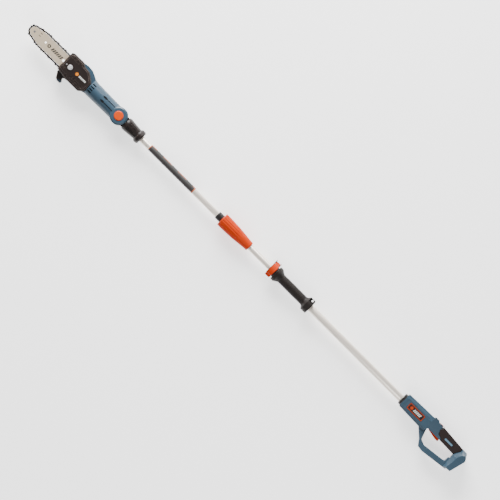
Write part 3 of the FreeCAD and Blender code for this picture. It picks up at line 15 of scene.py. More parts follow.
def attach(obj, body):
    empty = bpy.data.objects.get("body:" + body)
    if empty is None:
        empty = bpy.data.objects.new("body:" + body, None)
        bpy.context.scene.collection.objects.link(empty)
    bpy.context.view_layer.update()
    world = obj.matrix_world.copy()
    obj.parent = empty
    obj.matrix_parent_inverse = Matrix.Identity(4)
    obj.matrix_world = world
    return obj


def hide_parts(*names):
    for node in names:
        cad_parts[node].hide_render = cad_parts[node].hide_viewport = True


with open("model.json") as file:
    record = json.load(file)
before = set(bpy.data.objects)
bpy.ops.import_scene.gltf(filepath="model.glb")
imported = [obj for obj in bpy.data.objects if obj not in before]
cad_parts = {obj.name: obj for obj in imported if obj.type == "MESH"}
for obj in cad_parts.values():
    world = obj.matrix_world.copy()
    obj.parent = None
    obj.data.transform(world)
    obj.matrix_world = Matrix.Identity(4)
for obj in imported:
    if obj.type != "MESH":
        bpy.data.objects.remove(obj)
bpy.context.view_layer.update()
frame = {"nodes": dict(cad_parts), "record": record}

LOG = logging.getLogger("pole_saw")
MM = 0.001
AXIS_Y = 0.01575  # the pole's axis, which runs along x, in metres
AXIS_Z = 0.038
MERGE_DISTANCE = 2e-6  # metres between corners of a CAD mesh that are one corner
FLAT_ANGLE = math.radians(1.0)  # bend between CAD triangles that count as one flat face
ROUNDING_SEGMENTS = 3
Colour = tuple[float, float, float]
Span = tuple[float, float]
Profile = Sequence[tuple[float, float]]


# ------------------------------------------------------------------ shader expressions

class Value:
    """A shader number: wraps an output socket and adds Math nodes for Python operators."""

    def __init__(self, kit: "NodeKit", socket: Any) -> None:
        self.kit = kit
        self.socket = socket

    def _math(self, operation: str, *operands: Any) -> "Value":
        """Add one Math node.

        Args:
            operation: Math node operation.
            operands: Numbers or Values, in socket order.

        Returns:
            The node's result.
        """
        node = self.kit.node("ShaderNodeMath", {"operation": operation}, dict(enumerate(operands)))
        return Value(self.kit, node.outputs[0])

    def __add__(self, other: Any) -> "Value":
        """Sum."""
        return self._math("ADD", self, other)

    __radd__ = __add__

    def __sub__(self, other: Any) -> "Value":
        """Difference."""
        return self._math("SUBTRACT", self, other)

    def __rsub__(self, other: Any) -> "Value":
        """Reflected difference."""
        return self._math("SUBTRACT", other, self)

    def __mul__(self, other: Any) -> "Value":
        """Product."""
        return self._math("MULTIPLY", self, other)

    __rmul__ = __mul__

    def __truediv__(self, other: Any) -> "Value":
        """Quotient."""
        return self._math("DIVIDE", self, other)

    def __abs__(self) -> "Value":
        """Absolute value."""
        return self._math("ABSOLUTE", self)

    def above(self, edge: float, soft: float) -> "Value":
        """Mask that rises from 0 to 1 as the number passes an edge.

        Args:
            edge: Number at the middle of the rise.
            soft: Half the width of the rise.

        Returns:
            The mask.
        """
        settings = {"interpolation_type": "SMOOTHSTEP"}
        node = self.kit.node("ShaderNodeMapRange", settings,
                             {"Value": self, "From Min": edge - soft, "From Max": edge + soft})
        return Value(self.kit, node.outputs[0])

    def below(self, edge: float, soft: float = 0.12) -> "Value":
        """Mask of the numbers below an edge."""
        return 1 - self.above(edge, soft)

    def between(self, low: float, high: float, soft: float = 0.12) -> "Value":
        """Mask of the numbers between two edges."""
        return self.above(low, soft) * self.below(high, soft)

    def repeat(self, period: float) -> "Value":
        """Number's place in a repeated span, from 0 to 1."""
        return self._math("FRACT", self / period)

    def any(self) -> "Value":
        """Mask of the places where a sum of masks holds at least one."""
        return self.above(0.5, 0.12)

    def length(self, other: "Value") -> "Value":
        """Length of the pair made by this number and another."""
        return self._math("SQRT", self * self + other * other)


class NodeKit:
    """Makes one material's nodes."""

    def __init__(self, name: str) -> None:
        """Start an empty node material with a Principled shader.

        Its x, y and z are millimetres from the pole's axis, from Object coordinates.

        Args:
            name: Material name.
        """
        self.material = bpy.data.materials.new(name)
        self.material.use_nodes = True
        self.tree = self.material.node_tree
        self.tree.nodes.clear()
        self.output = self.node("ShaderNodeOutputMaterial")
        self.shader = self.node("ShaderNodeBsdfPrincipled")
        self.tree.links.new(self.shader.outputs[0], self.output.inputs[0])
        coordinates = self.node("ShaderNodeTexCoord")
        self.place = coordinates.outputs["Object"]
        parts = self.node("ShaderNodeSeparateXYZ", {}, {0: self.place})
        x, y, z = (Value(self, output) for output in parts.outputs)
        self.x, self.y, self.z = x / MM, (y - AXIS_Y) / MM, (z - AXIS_Z) / MM

    def node(self, kind: str, settings: dict[str, Any] | None = None, sockets: dict[Any, Any] | None = None) -> Any:
        """Add a node.

        Args:
            kind: Node type.
            settings: Attributes, which are set before the sockets.
            sockets: Socket name or index to a value, a Value or a socket.

        Returns:
            The node.
        """
        node = self.tree.nodes.new(kind)
        for key, value in (settings or {}).items():
            setattr(node, key, value)
        for key, value in (sockets or {}).items():
            source = value.socket if isinstance(value, Value) else value
            if isinstance(source, bpy.types.NodeSocket):
                self.tree.links.new(source, node.inputs[key])
            else:
                node.inputs[key].default_value = source
        return node

    def noise(self, scale: float, detail: float = 3.0, stretch: tuple[float, float, float] = (1, 1, 1)) -> Value:
        """Noise over the object.

        Args:
            scale: Cells per metre.
            detail: Octaves.
            stretch: Scale along each axis.

        Returns:
            The noise, about 0 to 1.
        """
        mapped = self.node("ShaderNodeMapping", {}, {"Vector": self.place, "Scale": stretch})
        noise = self.node("ShaderNodeTexNoise", {}, {"Vector": mapped.outputs[0], "Scale": scale, "Detail": detail})
        return Value(self, noise.outputs["Fac"])

    def blend(self, share: Any, first: Any, second: Any) -> Any:
        """Mix two colours.

        Args:
            share: Number or Value from 0 to 1.
            first: Colour or socket at 0.
            second: Colour or socket at 1.

        Returns:
            The mixed colour's socket.
        """
        colours = [(*item, 1.0) if isinstance(item, tuple) and len(item) == 3 else item for item in (first, second)]
        node = self.node("ShaderNodeMix", {"data_type": "RGBA"}, {0: share, 6: colours[0], 7: colours[1]})
        return node.outputs[2]

    def finish(self, colour: Any, roughness: Any, bump: Value | None = None, height: float = 0.0001,
               strength: float = 0.3, **fixed: float) -> bpy.types.Material:
        """Connect the shader.

        Args:
            colour: Socket of the base colour.
            roughness: Number or Value.
            bump: Height of the surface's relief.
            height: Depth of the relief in metres.
            strength: Strength of the relief.
            fixed: Plain numbers for other sockets, with underscores for spaces.

        Returns:
            The material.
        """
        sockets: dict[str, Any] = {"Base Color": colour, "Roughness": roughness}
        if bump is not None:
            relief = self.node("ShaderNodeBump", {}, {"Strength": strength, "Distance": height, "Height": bump})
            sockets["Normal"] = relief.outputs[0]
        for key, value in sockets.items():
            source = value.socket if isinstance(value, Value) else value
            if isinstance(source, bpy.types.NodeSocket):
                self.tree.links.new(source, self.shader.inputs[key])
            else:
                self.shader.inputs[key].default_value = source
        for key, number in fixed.items():
            self.shader.inputs[key.replace("_", " ")].default_value = number
        return self.material


# ------------------------------------------------------------------ finishes

def shade(colour: Colour, factor: float) -> Colour:
    """Colour made lighter or darker by a factor."""
    return tuple(min(1.0, part * factor) for part in colour)


@dataclass(frozen=True)
class SlantedBars:
    """Row of plain slanted bars.  Sizes in millimetres; share is the inked part of each pitch."""

    pitch: float
    share: float
    span: Span = (0.0, 0.0)
    rows: Span = (0.0, 0.0)
    slope: float = 0.4

    def endless(self, kit: NodeKit) -> Value:
        """Mask of bars that never end."""
        return (kit.x - kit.y * self.slope).repeat(self.pitch).below(self.share, 0.02)

    def row(self, kit: NodeKit) -> Value:
        """Mask of the bars within the span and the rows."""
        return (kit.x - kit.y * self.slope).between(*self.span) * kit.y.between(*self.rows) * self.endless(kit)


@dataclass(frozen=True)
class MouldedPlastic:
    """Injection-moulded plastic: fine spark grain, faint flow mottling and handling dust."""

    name: str
    colour: Colour
    rough: float = 0.42
    grain: float = 1500.0
    relief: float = 0.35
    dust: float = 0.12
    gloss: float = 0.4
    mottle_scale: float = 22.0
    scuff_scale: float = 260.0
    scuff_level: float = 0.66

    def decorate(self, kit: NodeKit, colour: Any) -> Any:
        """Colour with this piece's own marks added; a plain piece has none."""
        return colour

    def make(self) -> bpy.types.Material:
        """Build the material."""
        kit = NodeKit(self.name)
        mottle = kit.noise(self.mottle_scale, 4.0)
        fine = kit.noise(self.grain, 2.0)
        scuff = kit.noise(self.scuff_scale, 5.0, (1, 6, 6)).above(self.scuff_level, 0.05)
        base = kit.blend(mottle, shade(self.colour, 0.86), shade(self.colour, 1.12))
        dusty = kit.blend(scuff * self.dust, base, shade(self.colour, 2.2))
        rough = self.rough + (mottle - 0.5) * 0.14 + scuff * 0.1
        colour = self.decorate(kit, dusty)
        return kit.finish(colour, rough, fine, 0.00012, self.relief, Specular_IOR_Level=self.gloss)


@dataclass(frozen=True)
class HeadShellPlastic(MouldedPlastic):
    """Shell plastic with painted shade in the two grip grooves and over its inside, in one dark colour."""

    # painted shade: one dark colour laid over the grooves and the shell's inside, where shade falls
    inlay: Colour = (0.006, 0.007, 0.009)
    groove_levels: tuple[float, float] = (13.0, -5.0)
    groove_span: Span = (-758, -712)
    groove_half: float = 1.7
    groove_height: float = 20.0
    arrow_span: Span = (-776, -756)
    arrow_slope: float = 0.4
    arrow_half: float = 4.0
    cavity_radius: float = 27.7
    cavity_span: Span = (-836, -712)

    def decorate(self, kit: NodeKit, colour: Any) -> Any:
        """Add painted shade to the two grooves and to the inside.

        The painted shade in a groove is a straight line that starts in an arrow, whose half width grows with the way
        from its tip.
        """
        for level in self.groove_levels:
            across = abs(kit.y - level)
            line = kit.x.between(*self.groove_span) * across.below(self.groove_half)
            taper = (across - (kit.x - self.arrow_span[0]) * self.arrow_slope).below(0)
            arrow = kit.x.between(*self.arrow_span) * taper * across.below(self.arrow_half)
            # painted shade in each groove, on the upper face only
            colour = kit.blend((line + arrow).any() * kit.z.above(self.groove_height, 1), colour, self.inlay)
        # painted shade over the shell's inside, within the cavity radius
        inside = kit.y.length(kit.z).below(self.cavity_radius) * kit.x.between(*self.cavity_span, 1)
        return kit.blend(inside, colour, self.inlay)


@dataclass(frozen=True)
class HookPlastic(MouldedPlastic):
    """Hook plastic that turns to the shell's blue-grey at its tip."""

    tip: Colour = (0.02, 0.04, 0.06)
    border_slope: tuple[float, float] = (-0.35, 0.8)
    border: float = 278.0

    def decorate(self, kit: NodeKit, colour: Any) -> Any:
        """Add the tip's colour beyond a slanted border."""
        way = kit.y * self.border_slope[1] + kit.x * self.border_slope[0]
        return kit.blend(way.below(self.border, 1.5), colour, self.tip)


@dataclass(frozen=True)
class NamePlate(MouldedPlastic):
    """Dark plate printed with an outline, a disc and plain slanted bars."""

    orange: Colour = (0.42, 0.04, 0.0)
    pale: Colour = (0.55, 0.55, 0.53)
    outline: tuple[Span, Span] = ((854.5, 928.5), (-9.4, 14.4))
    inside: tuple[Span, Span] = ((856.6, 926.4), (-7.4, 12.4))
    disc_centre: tuple[float, float] = (870.0, 2.5)
    disc_radius: float = 6.2
    bars: SlantedBars = SlantedBars(7.4, 0.66, (879.8, 916.5), (-2.6, 7.6))

    def decorate(self, kit: NodeKit, colour: Any) -> Any:
        """Add the print."""
        outer, inner = (kit.x.between(*along) * kit.y.between(*up) for along, up in (self.outline, self.inside))
        disc = (kit.x - self.disc_centre[0]).length(kit.y - self.disc_centre[1]).below(self.disc_radius)
        colour = kit.blend((outer - inner + disc).any(), colour, self.orange)
        return kit.blend(self.bars.row(kit), colour, self.pale)


@dataclass(frozen=True)
class CoverEmblem(MouldedPlastic):
    """Amber disc, and a pale strip broken by slanted gaps."""

    pale: Colour = (0.55, 0.55, 0.53)
    ground: Colour = (0.012, 0.008, 0.007)
    strip_start: float = -893.0
    bars: SlantedBars = SlantedBars(7.0, 0.7)

    def decorate(self, kit: NodeKit, colour: Any) -> Any:
        """Add the strip's colours behind its start."""
        strip = kit.blend(self.bars.endless(kit), self.ground, self.pale)
        return kit.blend(kit.x.above(self.strip_start, 0.2), colour, strip)


@dataclass(frozen=True)
class LabelFilm(MouldedPlastic):
    """Dark grey film round the tube with orange rules at its edges and along its side, and painted shade along two
    creases.
    """

    orange: Colour = (0.5, 0.13, 0.05)
    end_rules: tuple[Span, Span] = ((-518, -513.2), (-287.6, -283))
    side_rule: Span = (10.2, 11.8)
    dash_pitch: float = 78.0
    dash: Span = (0.16, 0.74)
    crease_shade: tuple[Span, Span] = ((-437.2, -436.2), (-358.5, -357.5))

    def decorate(self, kit: NodeKit, colour: Any) -> Any:
        """Add the rules, and painted shade along two creases."""
        ends, crease_shade = (kit.x.between(*pair[0]) + kit.x.between(*pair[1]) for pair in (self.end_rules, self.crease_shade))
        dashes = kit.x.repeat(self.dash_pitch).between(*self.dash, 0.01)
        side = kit.y.between(*self.side_rule) * kit.z.above(0, 0.5) * dashes
        # painted shade: the film darkened along the two creases, where shade falls in the fold
        colour = kit.blend(crease_shade * 0.6, colour, shade(self.colour, 0.3))
        return kit.blend((ends + side).any(), colour, self.orange)


@dataclass(frozen=True)
class SoftGrip:
    """Rubbery overmould: close pebble texture, matt, with polished high spots and painted shade in the hollows between
    pebbles.
    """

    name: str
    colour: Colour
    pebble: float = 620.0
    rough: float = 0.62
    wear_scale: float = 30.0

    def make(self) -> bpy.types.Material:
        """Build the material."""
        kit = NodeKit(self.name)
        cells = kit.node("ShaderNodeTexVoronoi", {"feature": "SMOOTH_F1"}, {"Vector": kit.place, "Scale": self.pebble})
        pebble = Value(kit, cells.outputs["Distance"])
        worn = kit.noise(self.wear_scale, 4.0)
        base = kit.blend(worn, shade(self.colour, 0.8), shade(self.colour, 1.3))
        # painted shade: darker colour in the hollows between pebbles, where the bump is low
        colour = kit.blend(pebble.above(0.55, 0.2) * 0.35, base, shade(self.colour, 0.5))
        rough = self.rough - worn.above(0.6, 0.1) * 0.14
        return kit.finish(colour, rough, 1 - pebble, 0.00025, 0.5, Sheen_Weight=0.03, Specular_IOR_Level=0.25)


@dataclass(frozen=True)
class DrawnMetal:
    """Metal with fine lines along one direction, from drawing, brushing or rolling."""

    name: str
    colour: Colour
    rough: float = 0.3
    lines: tuple[float, float, float] = (0.02, 1, 1)
    scale: float = 2600.0
    contrast: float = 0.14
    metallic: float = 1.0
    relief: float = 0.12
    cloud_scale: float = 14.0
    scratch_scale: float = 420.0
    scratch_level: float = 0.71

    def decorate(self, kit: NodeKit, colour: Any) -> Any:
        """Colour with this piece's own marks added; a plain piece has none."""
        return colour

    def make(self) -> bpy.types.Material:
        """Build the material."""
        kit = NodeKit(self.name)
        streak = kit.noise(self.scale, 3.0, self.lines)
        cloud = kit.noise(self.cloud_scale, 4.0)
        scratch = kit.noise(self.scratch_scale, 2.0, (0.06, 1, 1)).above(self.scratch_level, 0.02)
        base = kit.blend(streak, shade(self.colour, 1 - self.contrast), shade(self.colour, 1 + self.contrast))
        colour = kit.blend(cloud.above(0.6, 0.15) * 0.2, base, shade(self.colour, 0.72))
        rough = self.rough + (streak - 0.5) * 0.16 + cloud * 0.08 - scratch * 0.08
        marked = self.decorate(kit, colour)
        return kit.finish(marked, rough, streak - scratch * 0.6, 0.00008, self.relief, Metallic=self.metallic)


@dataclass(frozen=True)
class PrintedBar(DrawnMetal):
    """Satin bar with a plain print of a ring and slanted bars, and rubbed bright rails."""

    ink: Colour = (0.02, 0.017, 0.016)
    rail: Colour = (0.62, 0.6, 0.58)
    middle: float = 1.0
    rail_start: float = 25.2
    ring_centre: float = -1050.0
    ring: Span = (3.0, 7.2)
    bars: SlantedBars = SlantedBars(9.0, 0.68, (-1036, -982), (-5.6, 7.6))
    dash_span: Span = (-1107, -1098)
    dash_levels: tuple[float, float] = (14.0, 3.0)
    dash_half: float = 1.2

    def decorate(self, kit: NodeKit, colour: Any) -> Any:
        """Add the print and the rails."""
        ring = (kit.x - self.ring_centre).length(kit.y - self.middle).between(*self.ring)
        upper, lower = (abs(kit.y - level).below(self.dash_half) for level in self.dash_levels)
        dashes = kit.x.between(*self.dash_span) * (upper + lower)
        worn = kit.noise(300.0, 4.0).above(0.3, 0.06)
        colour = kit.blend((ring + self.bars.row(kit) + dashes).any() * worn, colour, self.ink)
        return kit.blend(abs(kit.y - self.middle).above(self.rail_start, 0.4) * 0.5, colour, self.rail)


@dataclass(frozen=True)
class OiledSteel:
    """Dark steel with a film of oil and brighter rubbed spots."""

    name: str
    colour: Colour
    rough: float = 0.34
    metallic: float = 0.5
    film_scale: float = 180.0
    grain: float = 1400.0
    rubbed_level: float = 0.62

    def make(self) -> bpy.types.Material:
        """Build the material."""
        kit = NodeKit(self.name)
        film = kit.noise(self.film_scale, 4.0)
        fine = kit.noise(self.grain, 2.0)
        rubbed = film.above(self.rubbed_level, 0.06)
        colour = kit.blend(rubbed * 0.5, shade(self.colour, 0.7), shade(self.colour, 4.0))
        rough = self.rough + (0.5 - film) * 0.3
        return kit.finish(colour, rough, fine, 0.00006, 0.25, Metallic=self.metallic)


class Finishes(Enum):
    """Every finish on the tool."""

    SHELL = MouldedPlastic("shell_blue_grey", (0.031, 0.061, 0.09), 0.36)
    HEAD_SHELL = HeadShellPlastic("head_shell_blue_grey", (0.031, 0.061, 0.09), 0.36)
    HOOK = HookPlastic("hook_two_tone", (0.0115, 0.0068, 0.006), 0.36, dust=0.3)
    NAME_PLATE = NamePlate("handle_name_plate", (0.012, 0.01, 0.01), 0.3, relief=0.1)
    EMBLEM = CoverEmblem("cover_emblem", (0.6, 0.18, 0.01), 0.32, relief=0.1)
    LABEL = LabelFilm("pole_label_film", (0.035, 0.032, 0.031), 0.4, relief=0.08)
    # painted highlight: lighter blue-grey laid on the shells' rounded edges
    SHELL_HIGHLIGHT = MouldedPlastic("shell_painted_highlight", (0.17, 0.25, 0.32), 0.32, relief=0.15)
    COVER = MouldedPlastic("cover_brown_black", (0.0115, 0.0068, 0.006), 0.36, dust=0.3)
    # painted highlight: light brown laid on the rounded edges of the cover, hook and pivot socket
    COVER_HIGHLIGHT = MouldedPlastic("cover_painted_highlight", (0.24, 0.175, 0.15), 0.34, relief=0.15)
    BLACK = MouldedPlastic("black_nylon", (0.009, 0.0075, 0.0075), 0.42, dust=0.25)
    # painted highlight: lighter black laid on rounded edges
    BLACK_HIGHLIGHT = MouldedPlastic("black_painted_highlight", (0.035, 0.03, 0.03), 0.38, relief=0.15)
    ORANGE = MouldedPlastic("orange_gloss", (0.47, 0.03, 0.0), 0.42, 1700.0, 0.12, 0.05, 0.16)
    # painted highlight: lighter orange laid on rounded edges
    ORANGE_HIGHLIGHT = MouldedPlastic("orange_painted_highlight", (0.57, 0.05, 0.001), 0.36, 1700.0, 0.1, 0.05, 0.25)
    BUTTON = MouldedPlastic("button_orange", (0.6, 0.055, 0.0), 0.4, 1700.0, 0.12, 0.05, 0.16)
    INLAY = MouldedPlastic("inlay_light_blue", (0.1, 0.19, 0.26), 0.34)
    TANK = MouldedPlastic("tank_natural", (0.62, 0.58, 0.47), 0.34)
    BOARD = MouldedPlastic("board_green", (0.02, 0.11, 0.05), 0.4)
    REAR_GRIP = SoftGrip("rear_grip_rubber", (0.015, 0.0085, 0.0075), 620.0, 0.5)
    FOREGRIP = SoftGrip("foregrip_rubber", (0.0095, 0.0062, 0.005), 520.0, 0.52)
    TUBE = DrawnMetal("tube_aluminium", (0.97, 0.87, 0.77), 0.32, contrast=0.06, metallic=0.6)
    BAR = PrintedBar("bar_satin_steel", (0.5, 0.41, 0.3), 0.46, (0.05, 1, 1), 900.0, 0.1, 0.35)
    BRIGHT = DrawnMetal("bright_zinc", (0.76, 0.76, 0.78), 0.28, (1, 1, 1), 700.0, 0.12, 0.6)
    GEAR = DrawnMetal("ground_steel", (0.45, 0.45, 0.47), 0.32, (1, 1, 1), 700.0, 0.12)
    COPPER = DrawnMetal("wound_copper", (0.62, 0.3, 0.14), 0.36, (1, 1, 0.1), 1500.0, 0.3)
    CHAIN = OiledSteel("chain_steel", (0.014, 0.011, 0.011), 0.4, 0.3)
    DARK_STEEL = OiledSteel("black_screw_steel", (0.07, 0.07, 0.075))


MADE: dict[str, bpy.types.Material] = {}


def material(finish: Finishes) -> bpy.types.Material:
    """Material of a finish, made once."""
    if finish.name not in MADE:
        MADE[finish.name] = finish.value.make()
    return MADE[finish.name]


# ------------------------------------------------------------------ mesh helpers

def body_of(node: str) -> str:
    """Name of the body that a CAD node rides on."""
    return next(name for name, nodes in frame["record"]["behaviour"]["bodies"].items() if node in nodes)


def register(piece: bpy.types.Object, node: str, *replaced: str) -> bpy.types.Object:
    """Make a piece ride with a CAD node's body, and hide the nodes it replaces.

    Args:
        piece: The new object.
        node: CAD node whose body the piece takes.
        replaced: CAD nodes the piece replaces, which are hidden.

    Returns:
        The piece.
    """
    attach(piece, body_of(node))
    if replaced:
        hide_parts(*replaced)
    LOG.info("piece %s on body %s", piece.name, body_of(node))
    return piece


def new_object(name: str, mesh: bpy.types.Mesh) -> bpy.types.Object:
    """Link a mesh into the scene as an object at the origin."""
    piece = bpy.data.objects.new(name, mesh)
    bpy.context.scene.collection.objects.link(piece)
    return piece


def dress(node: str, finish: Finishes) -> None:
    """Give a CAD node its finish."""
    piece = frame["nodes"][node]
    piece.data.materials.clear()
    piece.data.materials.append(material(finish))


def soften(node: str, finish: Finishes, edge: Finishes, width: float = 0.8, angle: float = 24.0) -> bpy.types.Object:
    """Copy a CAD node, merge it and round its edges; the rounding carries the edge finish, which on most pieces is a
    painted highlight.

    Args:
        node: CAD node.
        finish: Finish of the faces.
        edge: Finish of the rounded edges, mostly a lighter colour: a painted highlight.
        width: Width of the rounding in millimetres.
        angle: Least angle between faces that is rounded, in degrees.

    Returns:
        The piece that replaces the node.
    """
    mesh = frame["nodes"][node].data.copy()
    work = bmesh.new()
    work.from_mesh(mesh)
    bmesh.ops.remove_doubles(work, verts=work.verts, dist=MERGE_DISTANCE)
    bmesh.ops.dissolve_limit(work, angle_limit=FLAT_ANGLE, verts=work.verts, edges=work.edges)
    for face in work.faces:
        face.smooth = True
        face.material_index = 0
    work.to_mesh(mesh)
    work.free()
    mesh.materials.clear()
    mesh.materials.append(material(finish))
    mesh.materials.append(material(edge))
    piece = new_object("soft_" + node, mesh)
    bevel = piece.modifiers.new("rounding", "BEVEL")
    bevel.width = width * MM
    bevel.segments = ROUNDING_SEGMENTS
    bevel.limit_method = "ANGLE"
    bevel.angle_limit = math.radians(angle)
    bevel.use_clamp_overlap = True
    # the rounding gets the edge finish; most edge finishes are a painted highlight
    bevel.material = 1
    bevel.harden_normals = False
    normals = piece.modifiers.new("normals", "WEIGHTED_NORMAL")
    normals.keep_sharp = False
    return register(piece, node, node)


def grid_mesh(name: str, rows: np.ndarray, finish: Finishes) -> bpy.types.Mesh:
    """Mesh of a grid of points that closes on itself both ways.

    Quad (i, j) joins points (i, j), (i+1, j), (i+1, j+1) and (i, j+1), with i and j both counted round.

    Args:
        name: Mesh name.
        rows: Points, shaped (rows, columns, 3).
        finish: Finish of the surface.

    Returns:
        The mesh, smooth shaded.
    """
    height, width, _ = rows.shape
    i, j = np.meshgrid(np.arange(height), np.arange(width), indexing="ij")
    below, beside = (i + 1) % height, (j + 1) % width
    quads = np.stack([i * width + j, below * width + j, below * width + beside, i * width + beside], axis=-1)
    quads = quads.reshape(-1, 4)
    mesh = bpy.data.meshes.new(name)
    mesh.vertices.add(height * width)
    mesh.vertices.foreach_set("co", rows.reshape(-1))
    mesh.loops.add(quads.size)
    mesh.loops.foreach_set("vertex_index", quads.reshape(-1))
    mesh.polygons.add(len(quads))
    mesh.polygons.foreach_set("loop_start", np.arange(0, quads.size, 4))
    mesh.polygons.foreach_set("use_smooth", np.ones(len(quads), dtype=bool))
    mesh.update(calc_edges=True)
    mesh.validate()
    mesh.materials.append(material(finish))
    work = bmesh.new()
    work.from_mesh(mesh)
    bmesh.ops.remove_doubles(work, verts=work.verts, dist=1e-7)
    bmesh.ops.recalc_face_normals(work, faces=work.faces)
    work.to_mesh(mesh)
    work.free()
    return mesh


def round_profile(profile: Profile, radius: float, steps: int = 4) -> np.ndarray:
    """Closed profile with each corner replaced by a short arc-like curve.

    Each corner P becomes the quadratic curve from P + r·a through to P + r·b, where a and b are the unit
    directions to its neighbours and r is the radius, at most 0.45 of the shorter side.

    Args:
        profile: Corners as (along, radius) in millimetres.
        radius: Corner reach in millimetres.
        steps: Points per corner.

    Returns:
        Points shaped (count, 2).
    """
    points = np.asarray(profile, dtype=float)
    before, after = np.roll(points, 1, axis=0) - points, np.roll(points, -1, axis=0) - points
    length_before = np.linalg.norm(before, axis=1, keepdims=True)
    length_after = np.linalg.norm(after, axis=1, keepdims=True)
    reach = np.minimum(radius, 0.45 * np.minimum(length_before, length_after))
    start, end = points + before / length_before * reach, points + after / length_after * reach
    share = np.linspace(0.0, 1.0, steps)[None, :, None]
    curve = (1 - share) ** 2 * start[:, None] + 2 * share * (1 - share) * points[:, None] + share ** 2 * end[:, None]
    return curve.reshape(-1, 2)


def lathe(name: str, profile: np.ndarray, finish: Finishes, segments: int = 96,
          shape: Callable[[np.ndarray, np.ndarray, np.ndarray], np.ndarray] | None = None) -> bpy.types.Mesh:
    """Surface turned about the pole's axis.

    Point (i, j) lies at (x_i, r·cos t_j, r·sin t_j) about the pole's axis, where r is the profile's radius, or
    shape(x, r, t) where a shape is given.

    Args:
        name: Mesh name.
        profile: Closed (x, r) points in millimetres.
        finish: Finish of the surface.
        segments: Points round the axis.
        shape: Optional change of the radius.

    Returns:
        The mesh.
    """
    turn = np.linspace(0.0, 2 * np.pi, segments, endpoint=False)[None, :]
    along, radius = profile[:, 0:1] + 0 * turn, profile[:, 1:2] + 0 * turn
    if shape is not None:
        radius = shape(along, radius, turn + 0 * along)
    points = np.stack([along * MM, AXIS_Y + radius * np.cos(turn) * MM, AXIS_Z + radius * np.sin(turn) * MM], axis=-1)
    return grid_mesh(name, points, finish)


def refine(profile: np.ndarray, step: float) -> np.ndarray:
    """Profile with extra points so that no side is longer than a step."""
    following = np.roll(profile, -1, axis=0)
    counts = np.maximum(1, np.ceil(np.linalg.norm(following - profile, axis=1) / step)).astype(int)
    pieces = [start + (end - start) * np.linspace(0, 1, count, endpoint=False)[:, None]
              for start, end, count in zip(profile, following, counts)]
    return np.concatenate(pieces)


# ------------------------------------------------------------------ sub-assemblies

@dataclass
class Pole:
    """Tubes, coupling, label and pivot socket.  Sizes in millimetres about the pole's axis."""

    wall: float = 1.2
    tube_rim: float = 0.4
    tubes: dict[str, tuple[float, Span]] = field(default_factory=lambda: {
        "upper_tube": (12.5, (-640, -110)), "inner_tube": (12.5, (-20, 700)), "outer_tube": (15, (122, 905))})
    sleeve_rim: float = 1.2
    flutes: int = 16
    flute_depth: float = 1.5
    fluted_span: Span = (-130, -20)
    fade_in: Span = (-131, -125)
    fade_out: Span = (-54, -24)
    skin_radius: float = 21.2
    sleeve: Profile = ((-134, 16.2), (-134, 26), (-131, 27.5), (-112, 27.6), (-92, 26.8), (-62, 25.4), (-28, 22.2),
                       (-4, 19.6), (11, 18.9), (13, 18.2), (13, 17.6), (-100, 17.6), (-100, 20.6), (-128, 20.6),
                       (-128, 16.2))

    def flute(self, along: np.ndarray, radius: np.ndarray, turn: np.ndarray) -> np.ndarray:
        """Radius of the fluted sleeve.

        Outside, r falls by a clipped cosine with one wave a flute, fading towards both ends; the bore stays
        round.

        Args:
            along: Places along the axis.
            radius: Radii of the plain sleeve.
            turn: Angles round the axis, in radians.

        Returns:
            The radii with the flutes.
        """
        front, rear = self.fluted_span
        outside = (radius > self.skin_radius) & (along > front) & (along < rear)
        rise = (along - self.fade_in[0]) / (self.fade_in[1] - self.fade_in[0])
        fall = (self.fade_out[1] - along) / (self.fade_out[1] - self.fade_out[0])
        fade = np.clip(rise, 0, 1) * np.clip(fall, 0, 1)
        wave = np.clip(np.cos(self.flutes * turn) * 1.6 - 0.35, 0, 1)
        return np.where(outside, radius - self.flute_depth * wave * fade, radius)

    def build(self) -> None:
        """Make the turned pieces."""
        for node, (radius, (front, rear)) in self.tubes.items():
            bore = radius - self.wall
            corners = ((front, bore), (front, radius), (rear, radius), (rear, bore))
            mesh = lathe("drawn_" + node, round_profile(corners, self.tube_rim, 3), Finishes.TUBE)
            register(new_object("drawn_" + node, mesh), node, node)
        profile = refine(round_profile(self.sleeve, self.sleeve_rim), 3.0)
        mesh = lathe("fluted_sleeve", profile, Finishes.ORANGE, 256, self.flute)
        register(new_object("fluted_sleeve", mesh), "coupling_sleeve", "coupling_sleeve")

    def dress(self) -> None:
        """Finish the rest of the pole."""
        for node in ("inner_tube_guide", "coupling_receiver"):
            dress(node, Finishes.BLACK)
        soften("coupling_spigot", Finishes.BLACK, Finishes.BLACK_HIGHLIGHT, 0.6)
        soften("pivot_socket", Finishes.COVER, Finishes.COVER_HIGHLIGHT, 0.8)
        dress("tube_label", Finishes.LABEL)


@dataclass
class Foregrip:
    """Clamp, cam lever and foregrip."""

    edge: float = 1.0

    def build(self) -> None:
        """Round the moulded pieces."""
        soften("foregrip", Finishes.FOREGRIP, Finishes.FOREGRIP, self.edge)
        soften("clamp_collar", Finishes.BLACK, Finishes.BLACK_HIGHLIGHT, 0.8)
        soften("clamp_lever", Finishes.ORANGE, Finishes.ORANGE_HIGHLIGHT, 0.9)

    def dress(self) -> None:
        """Finish the small parts."""
        dress("front_bushing", Finishes.BLACK)
        dress("clamp_hardware", Finishes.BRIGHT)


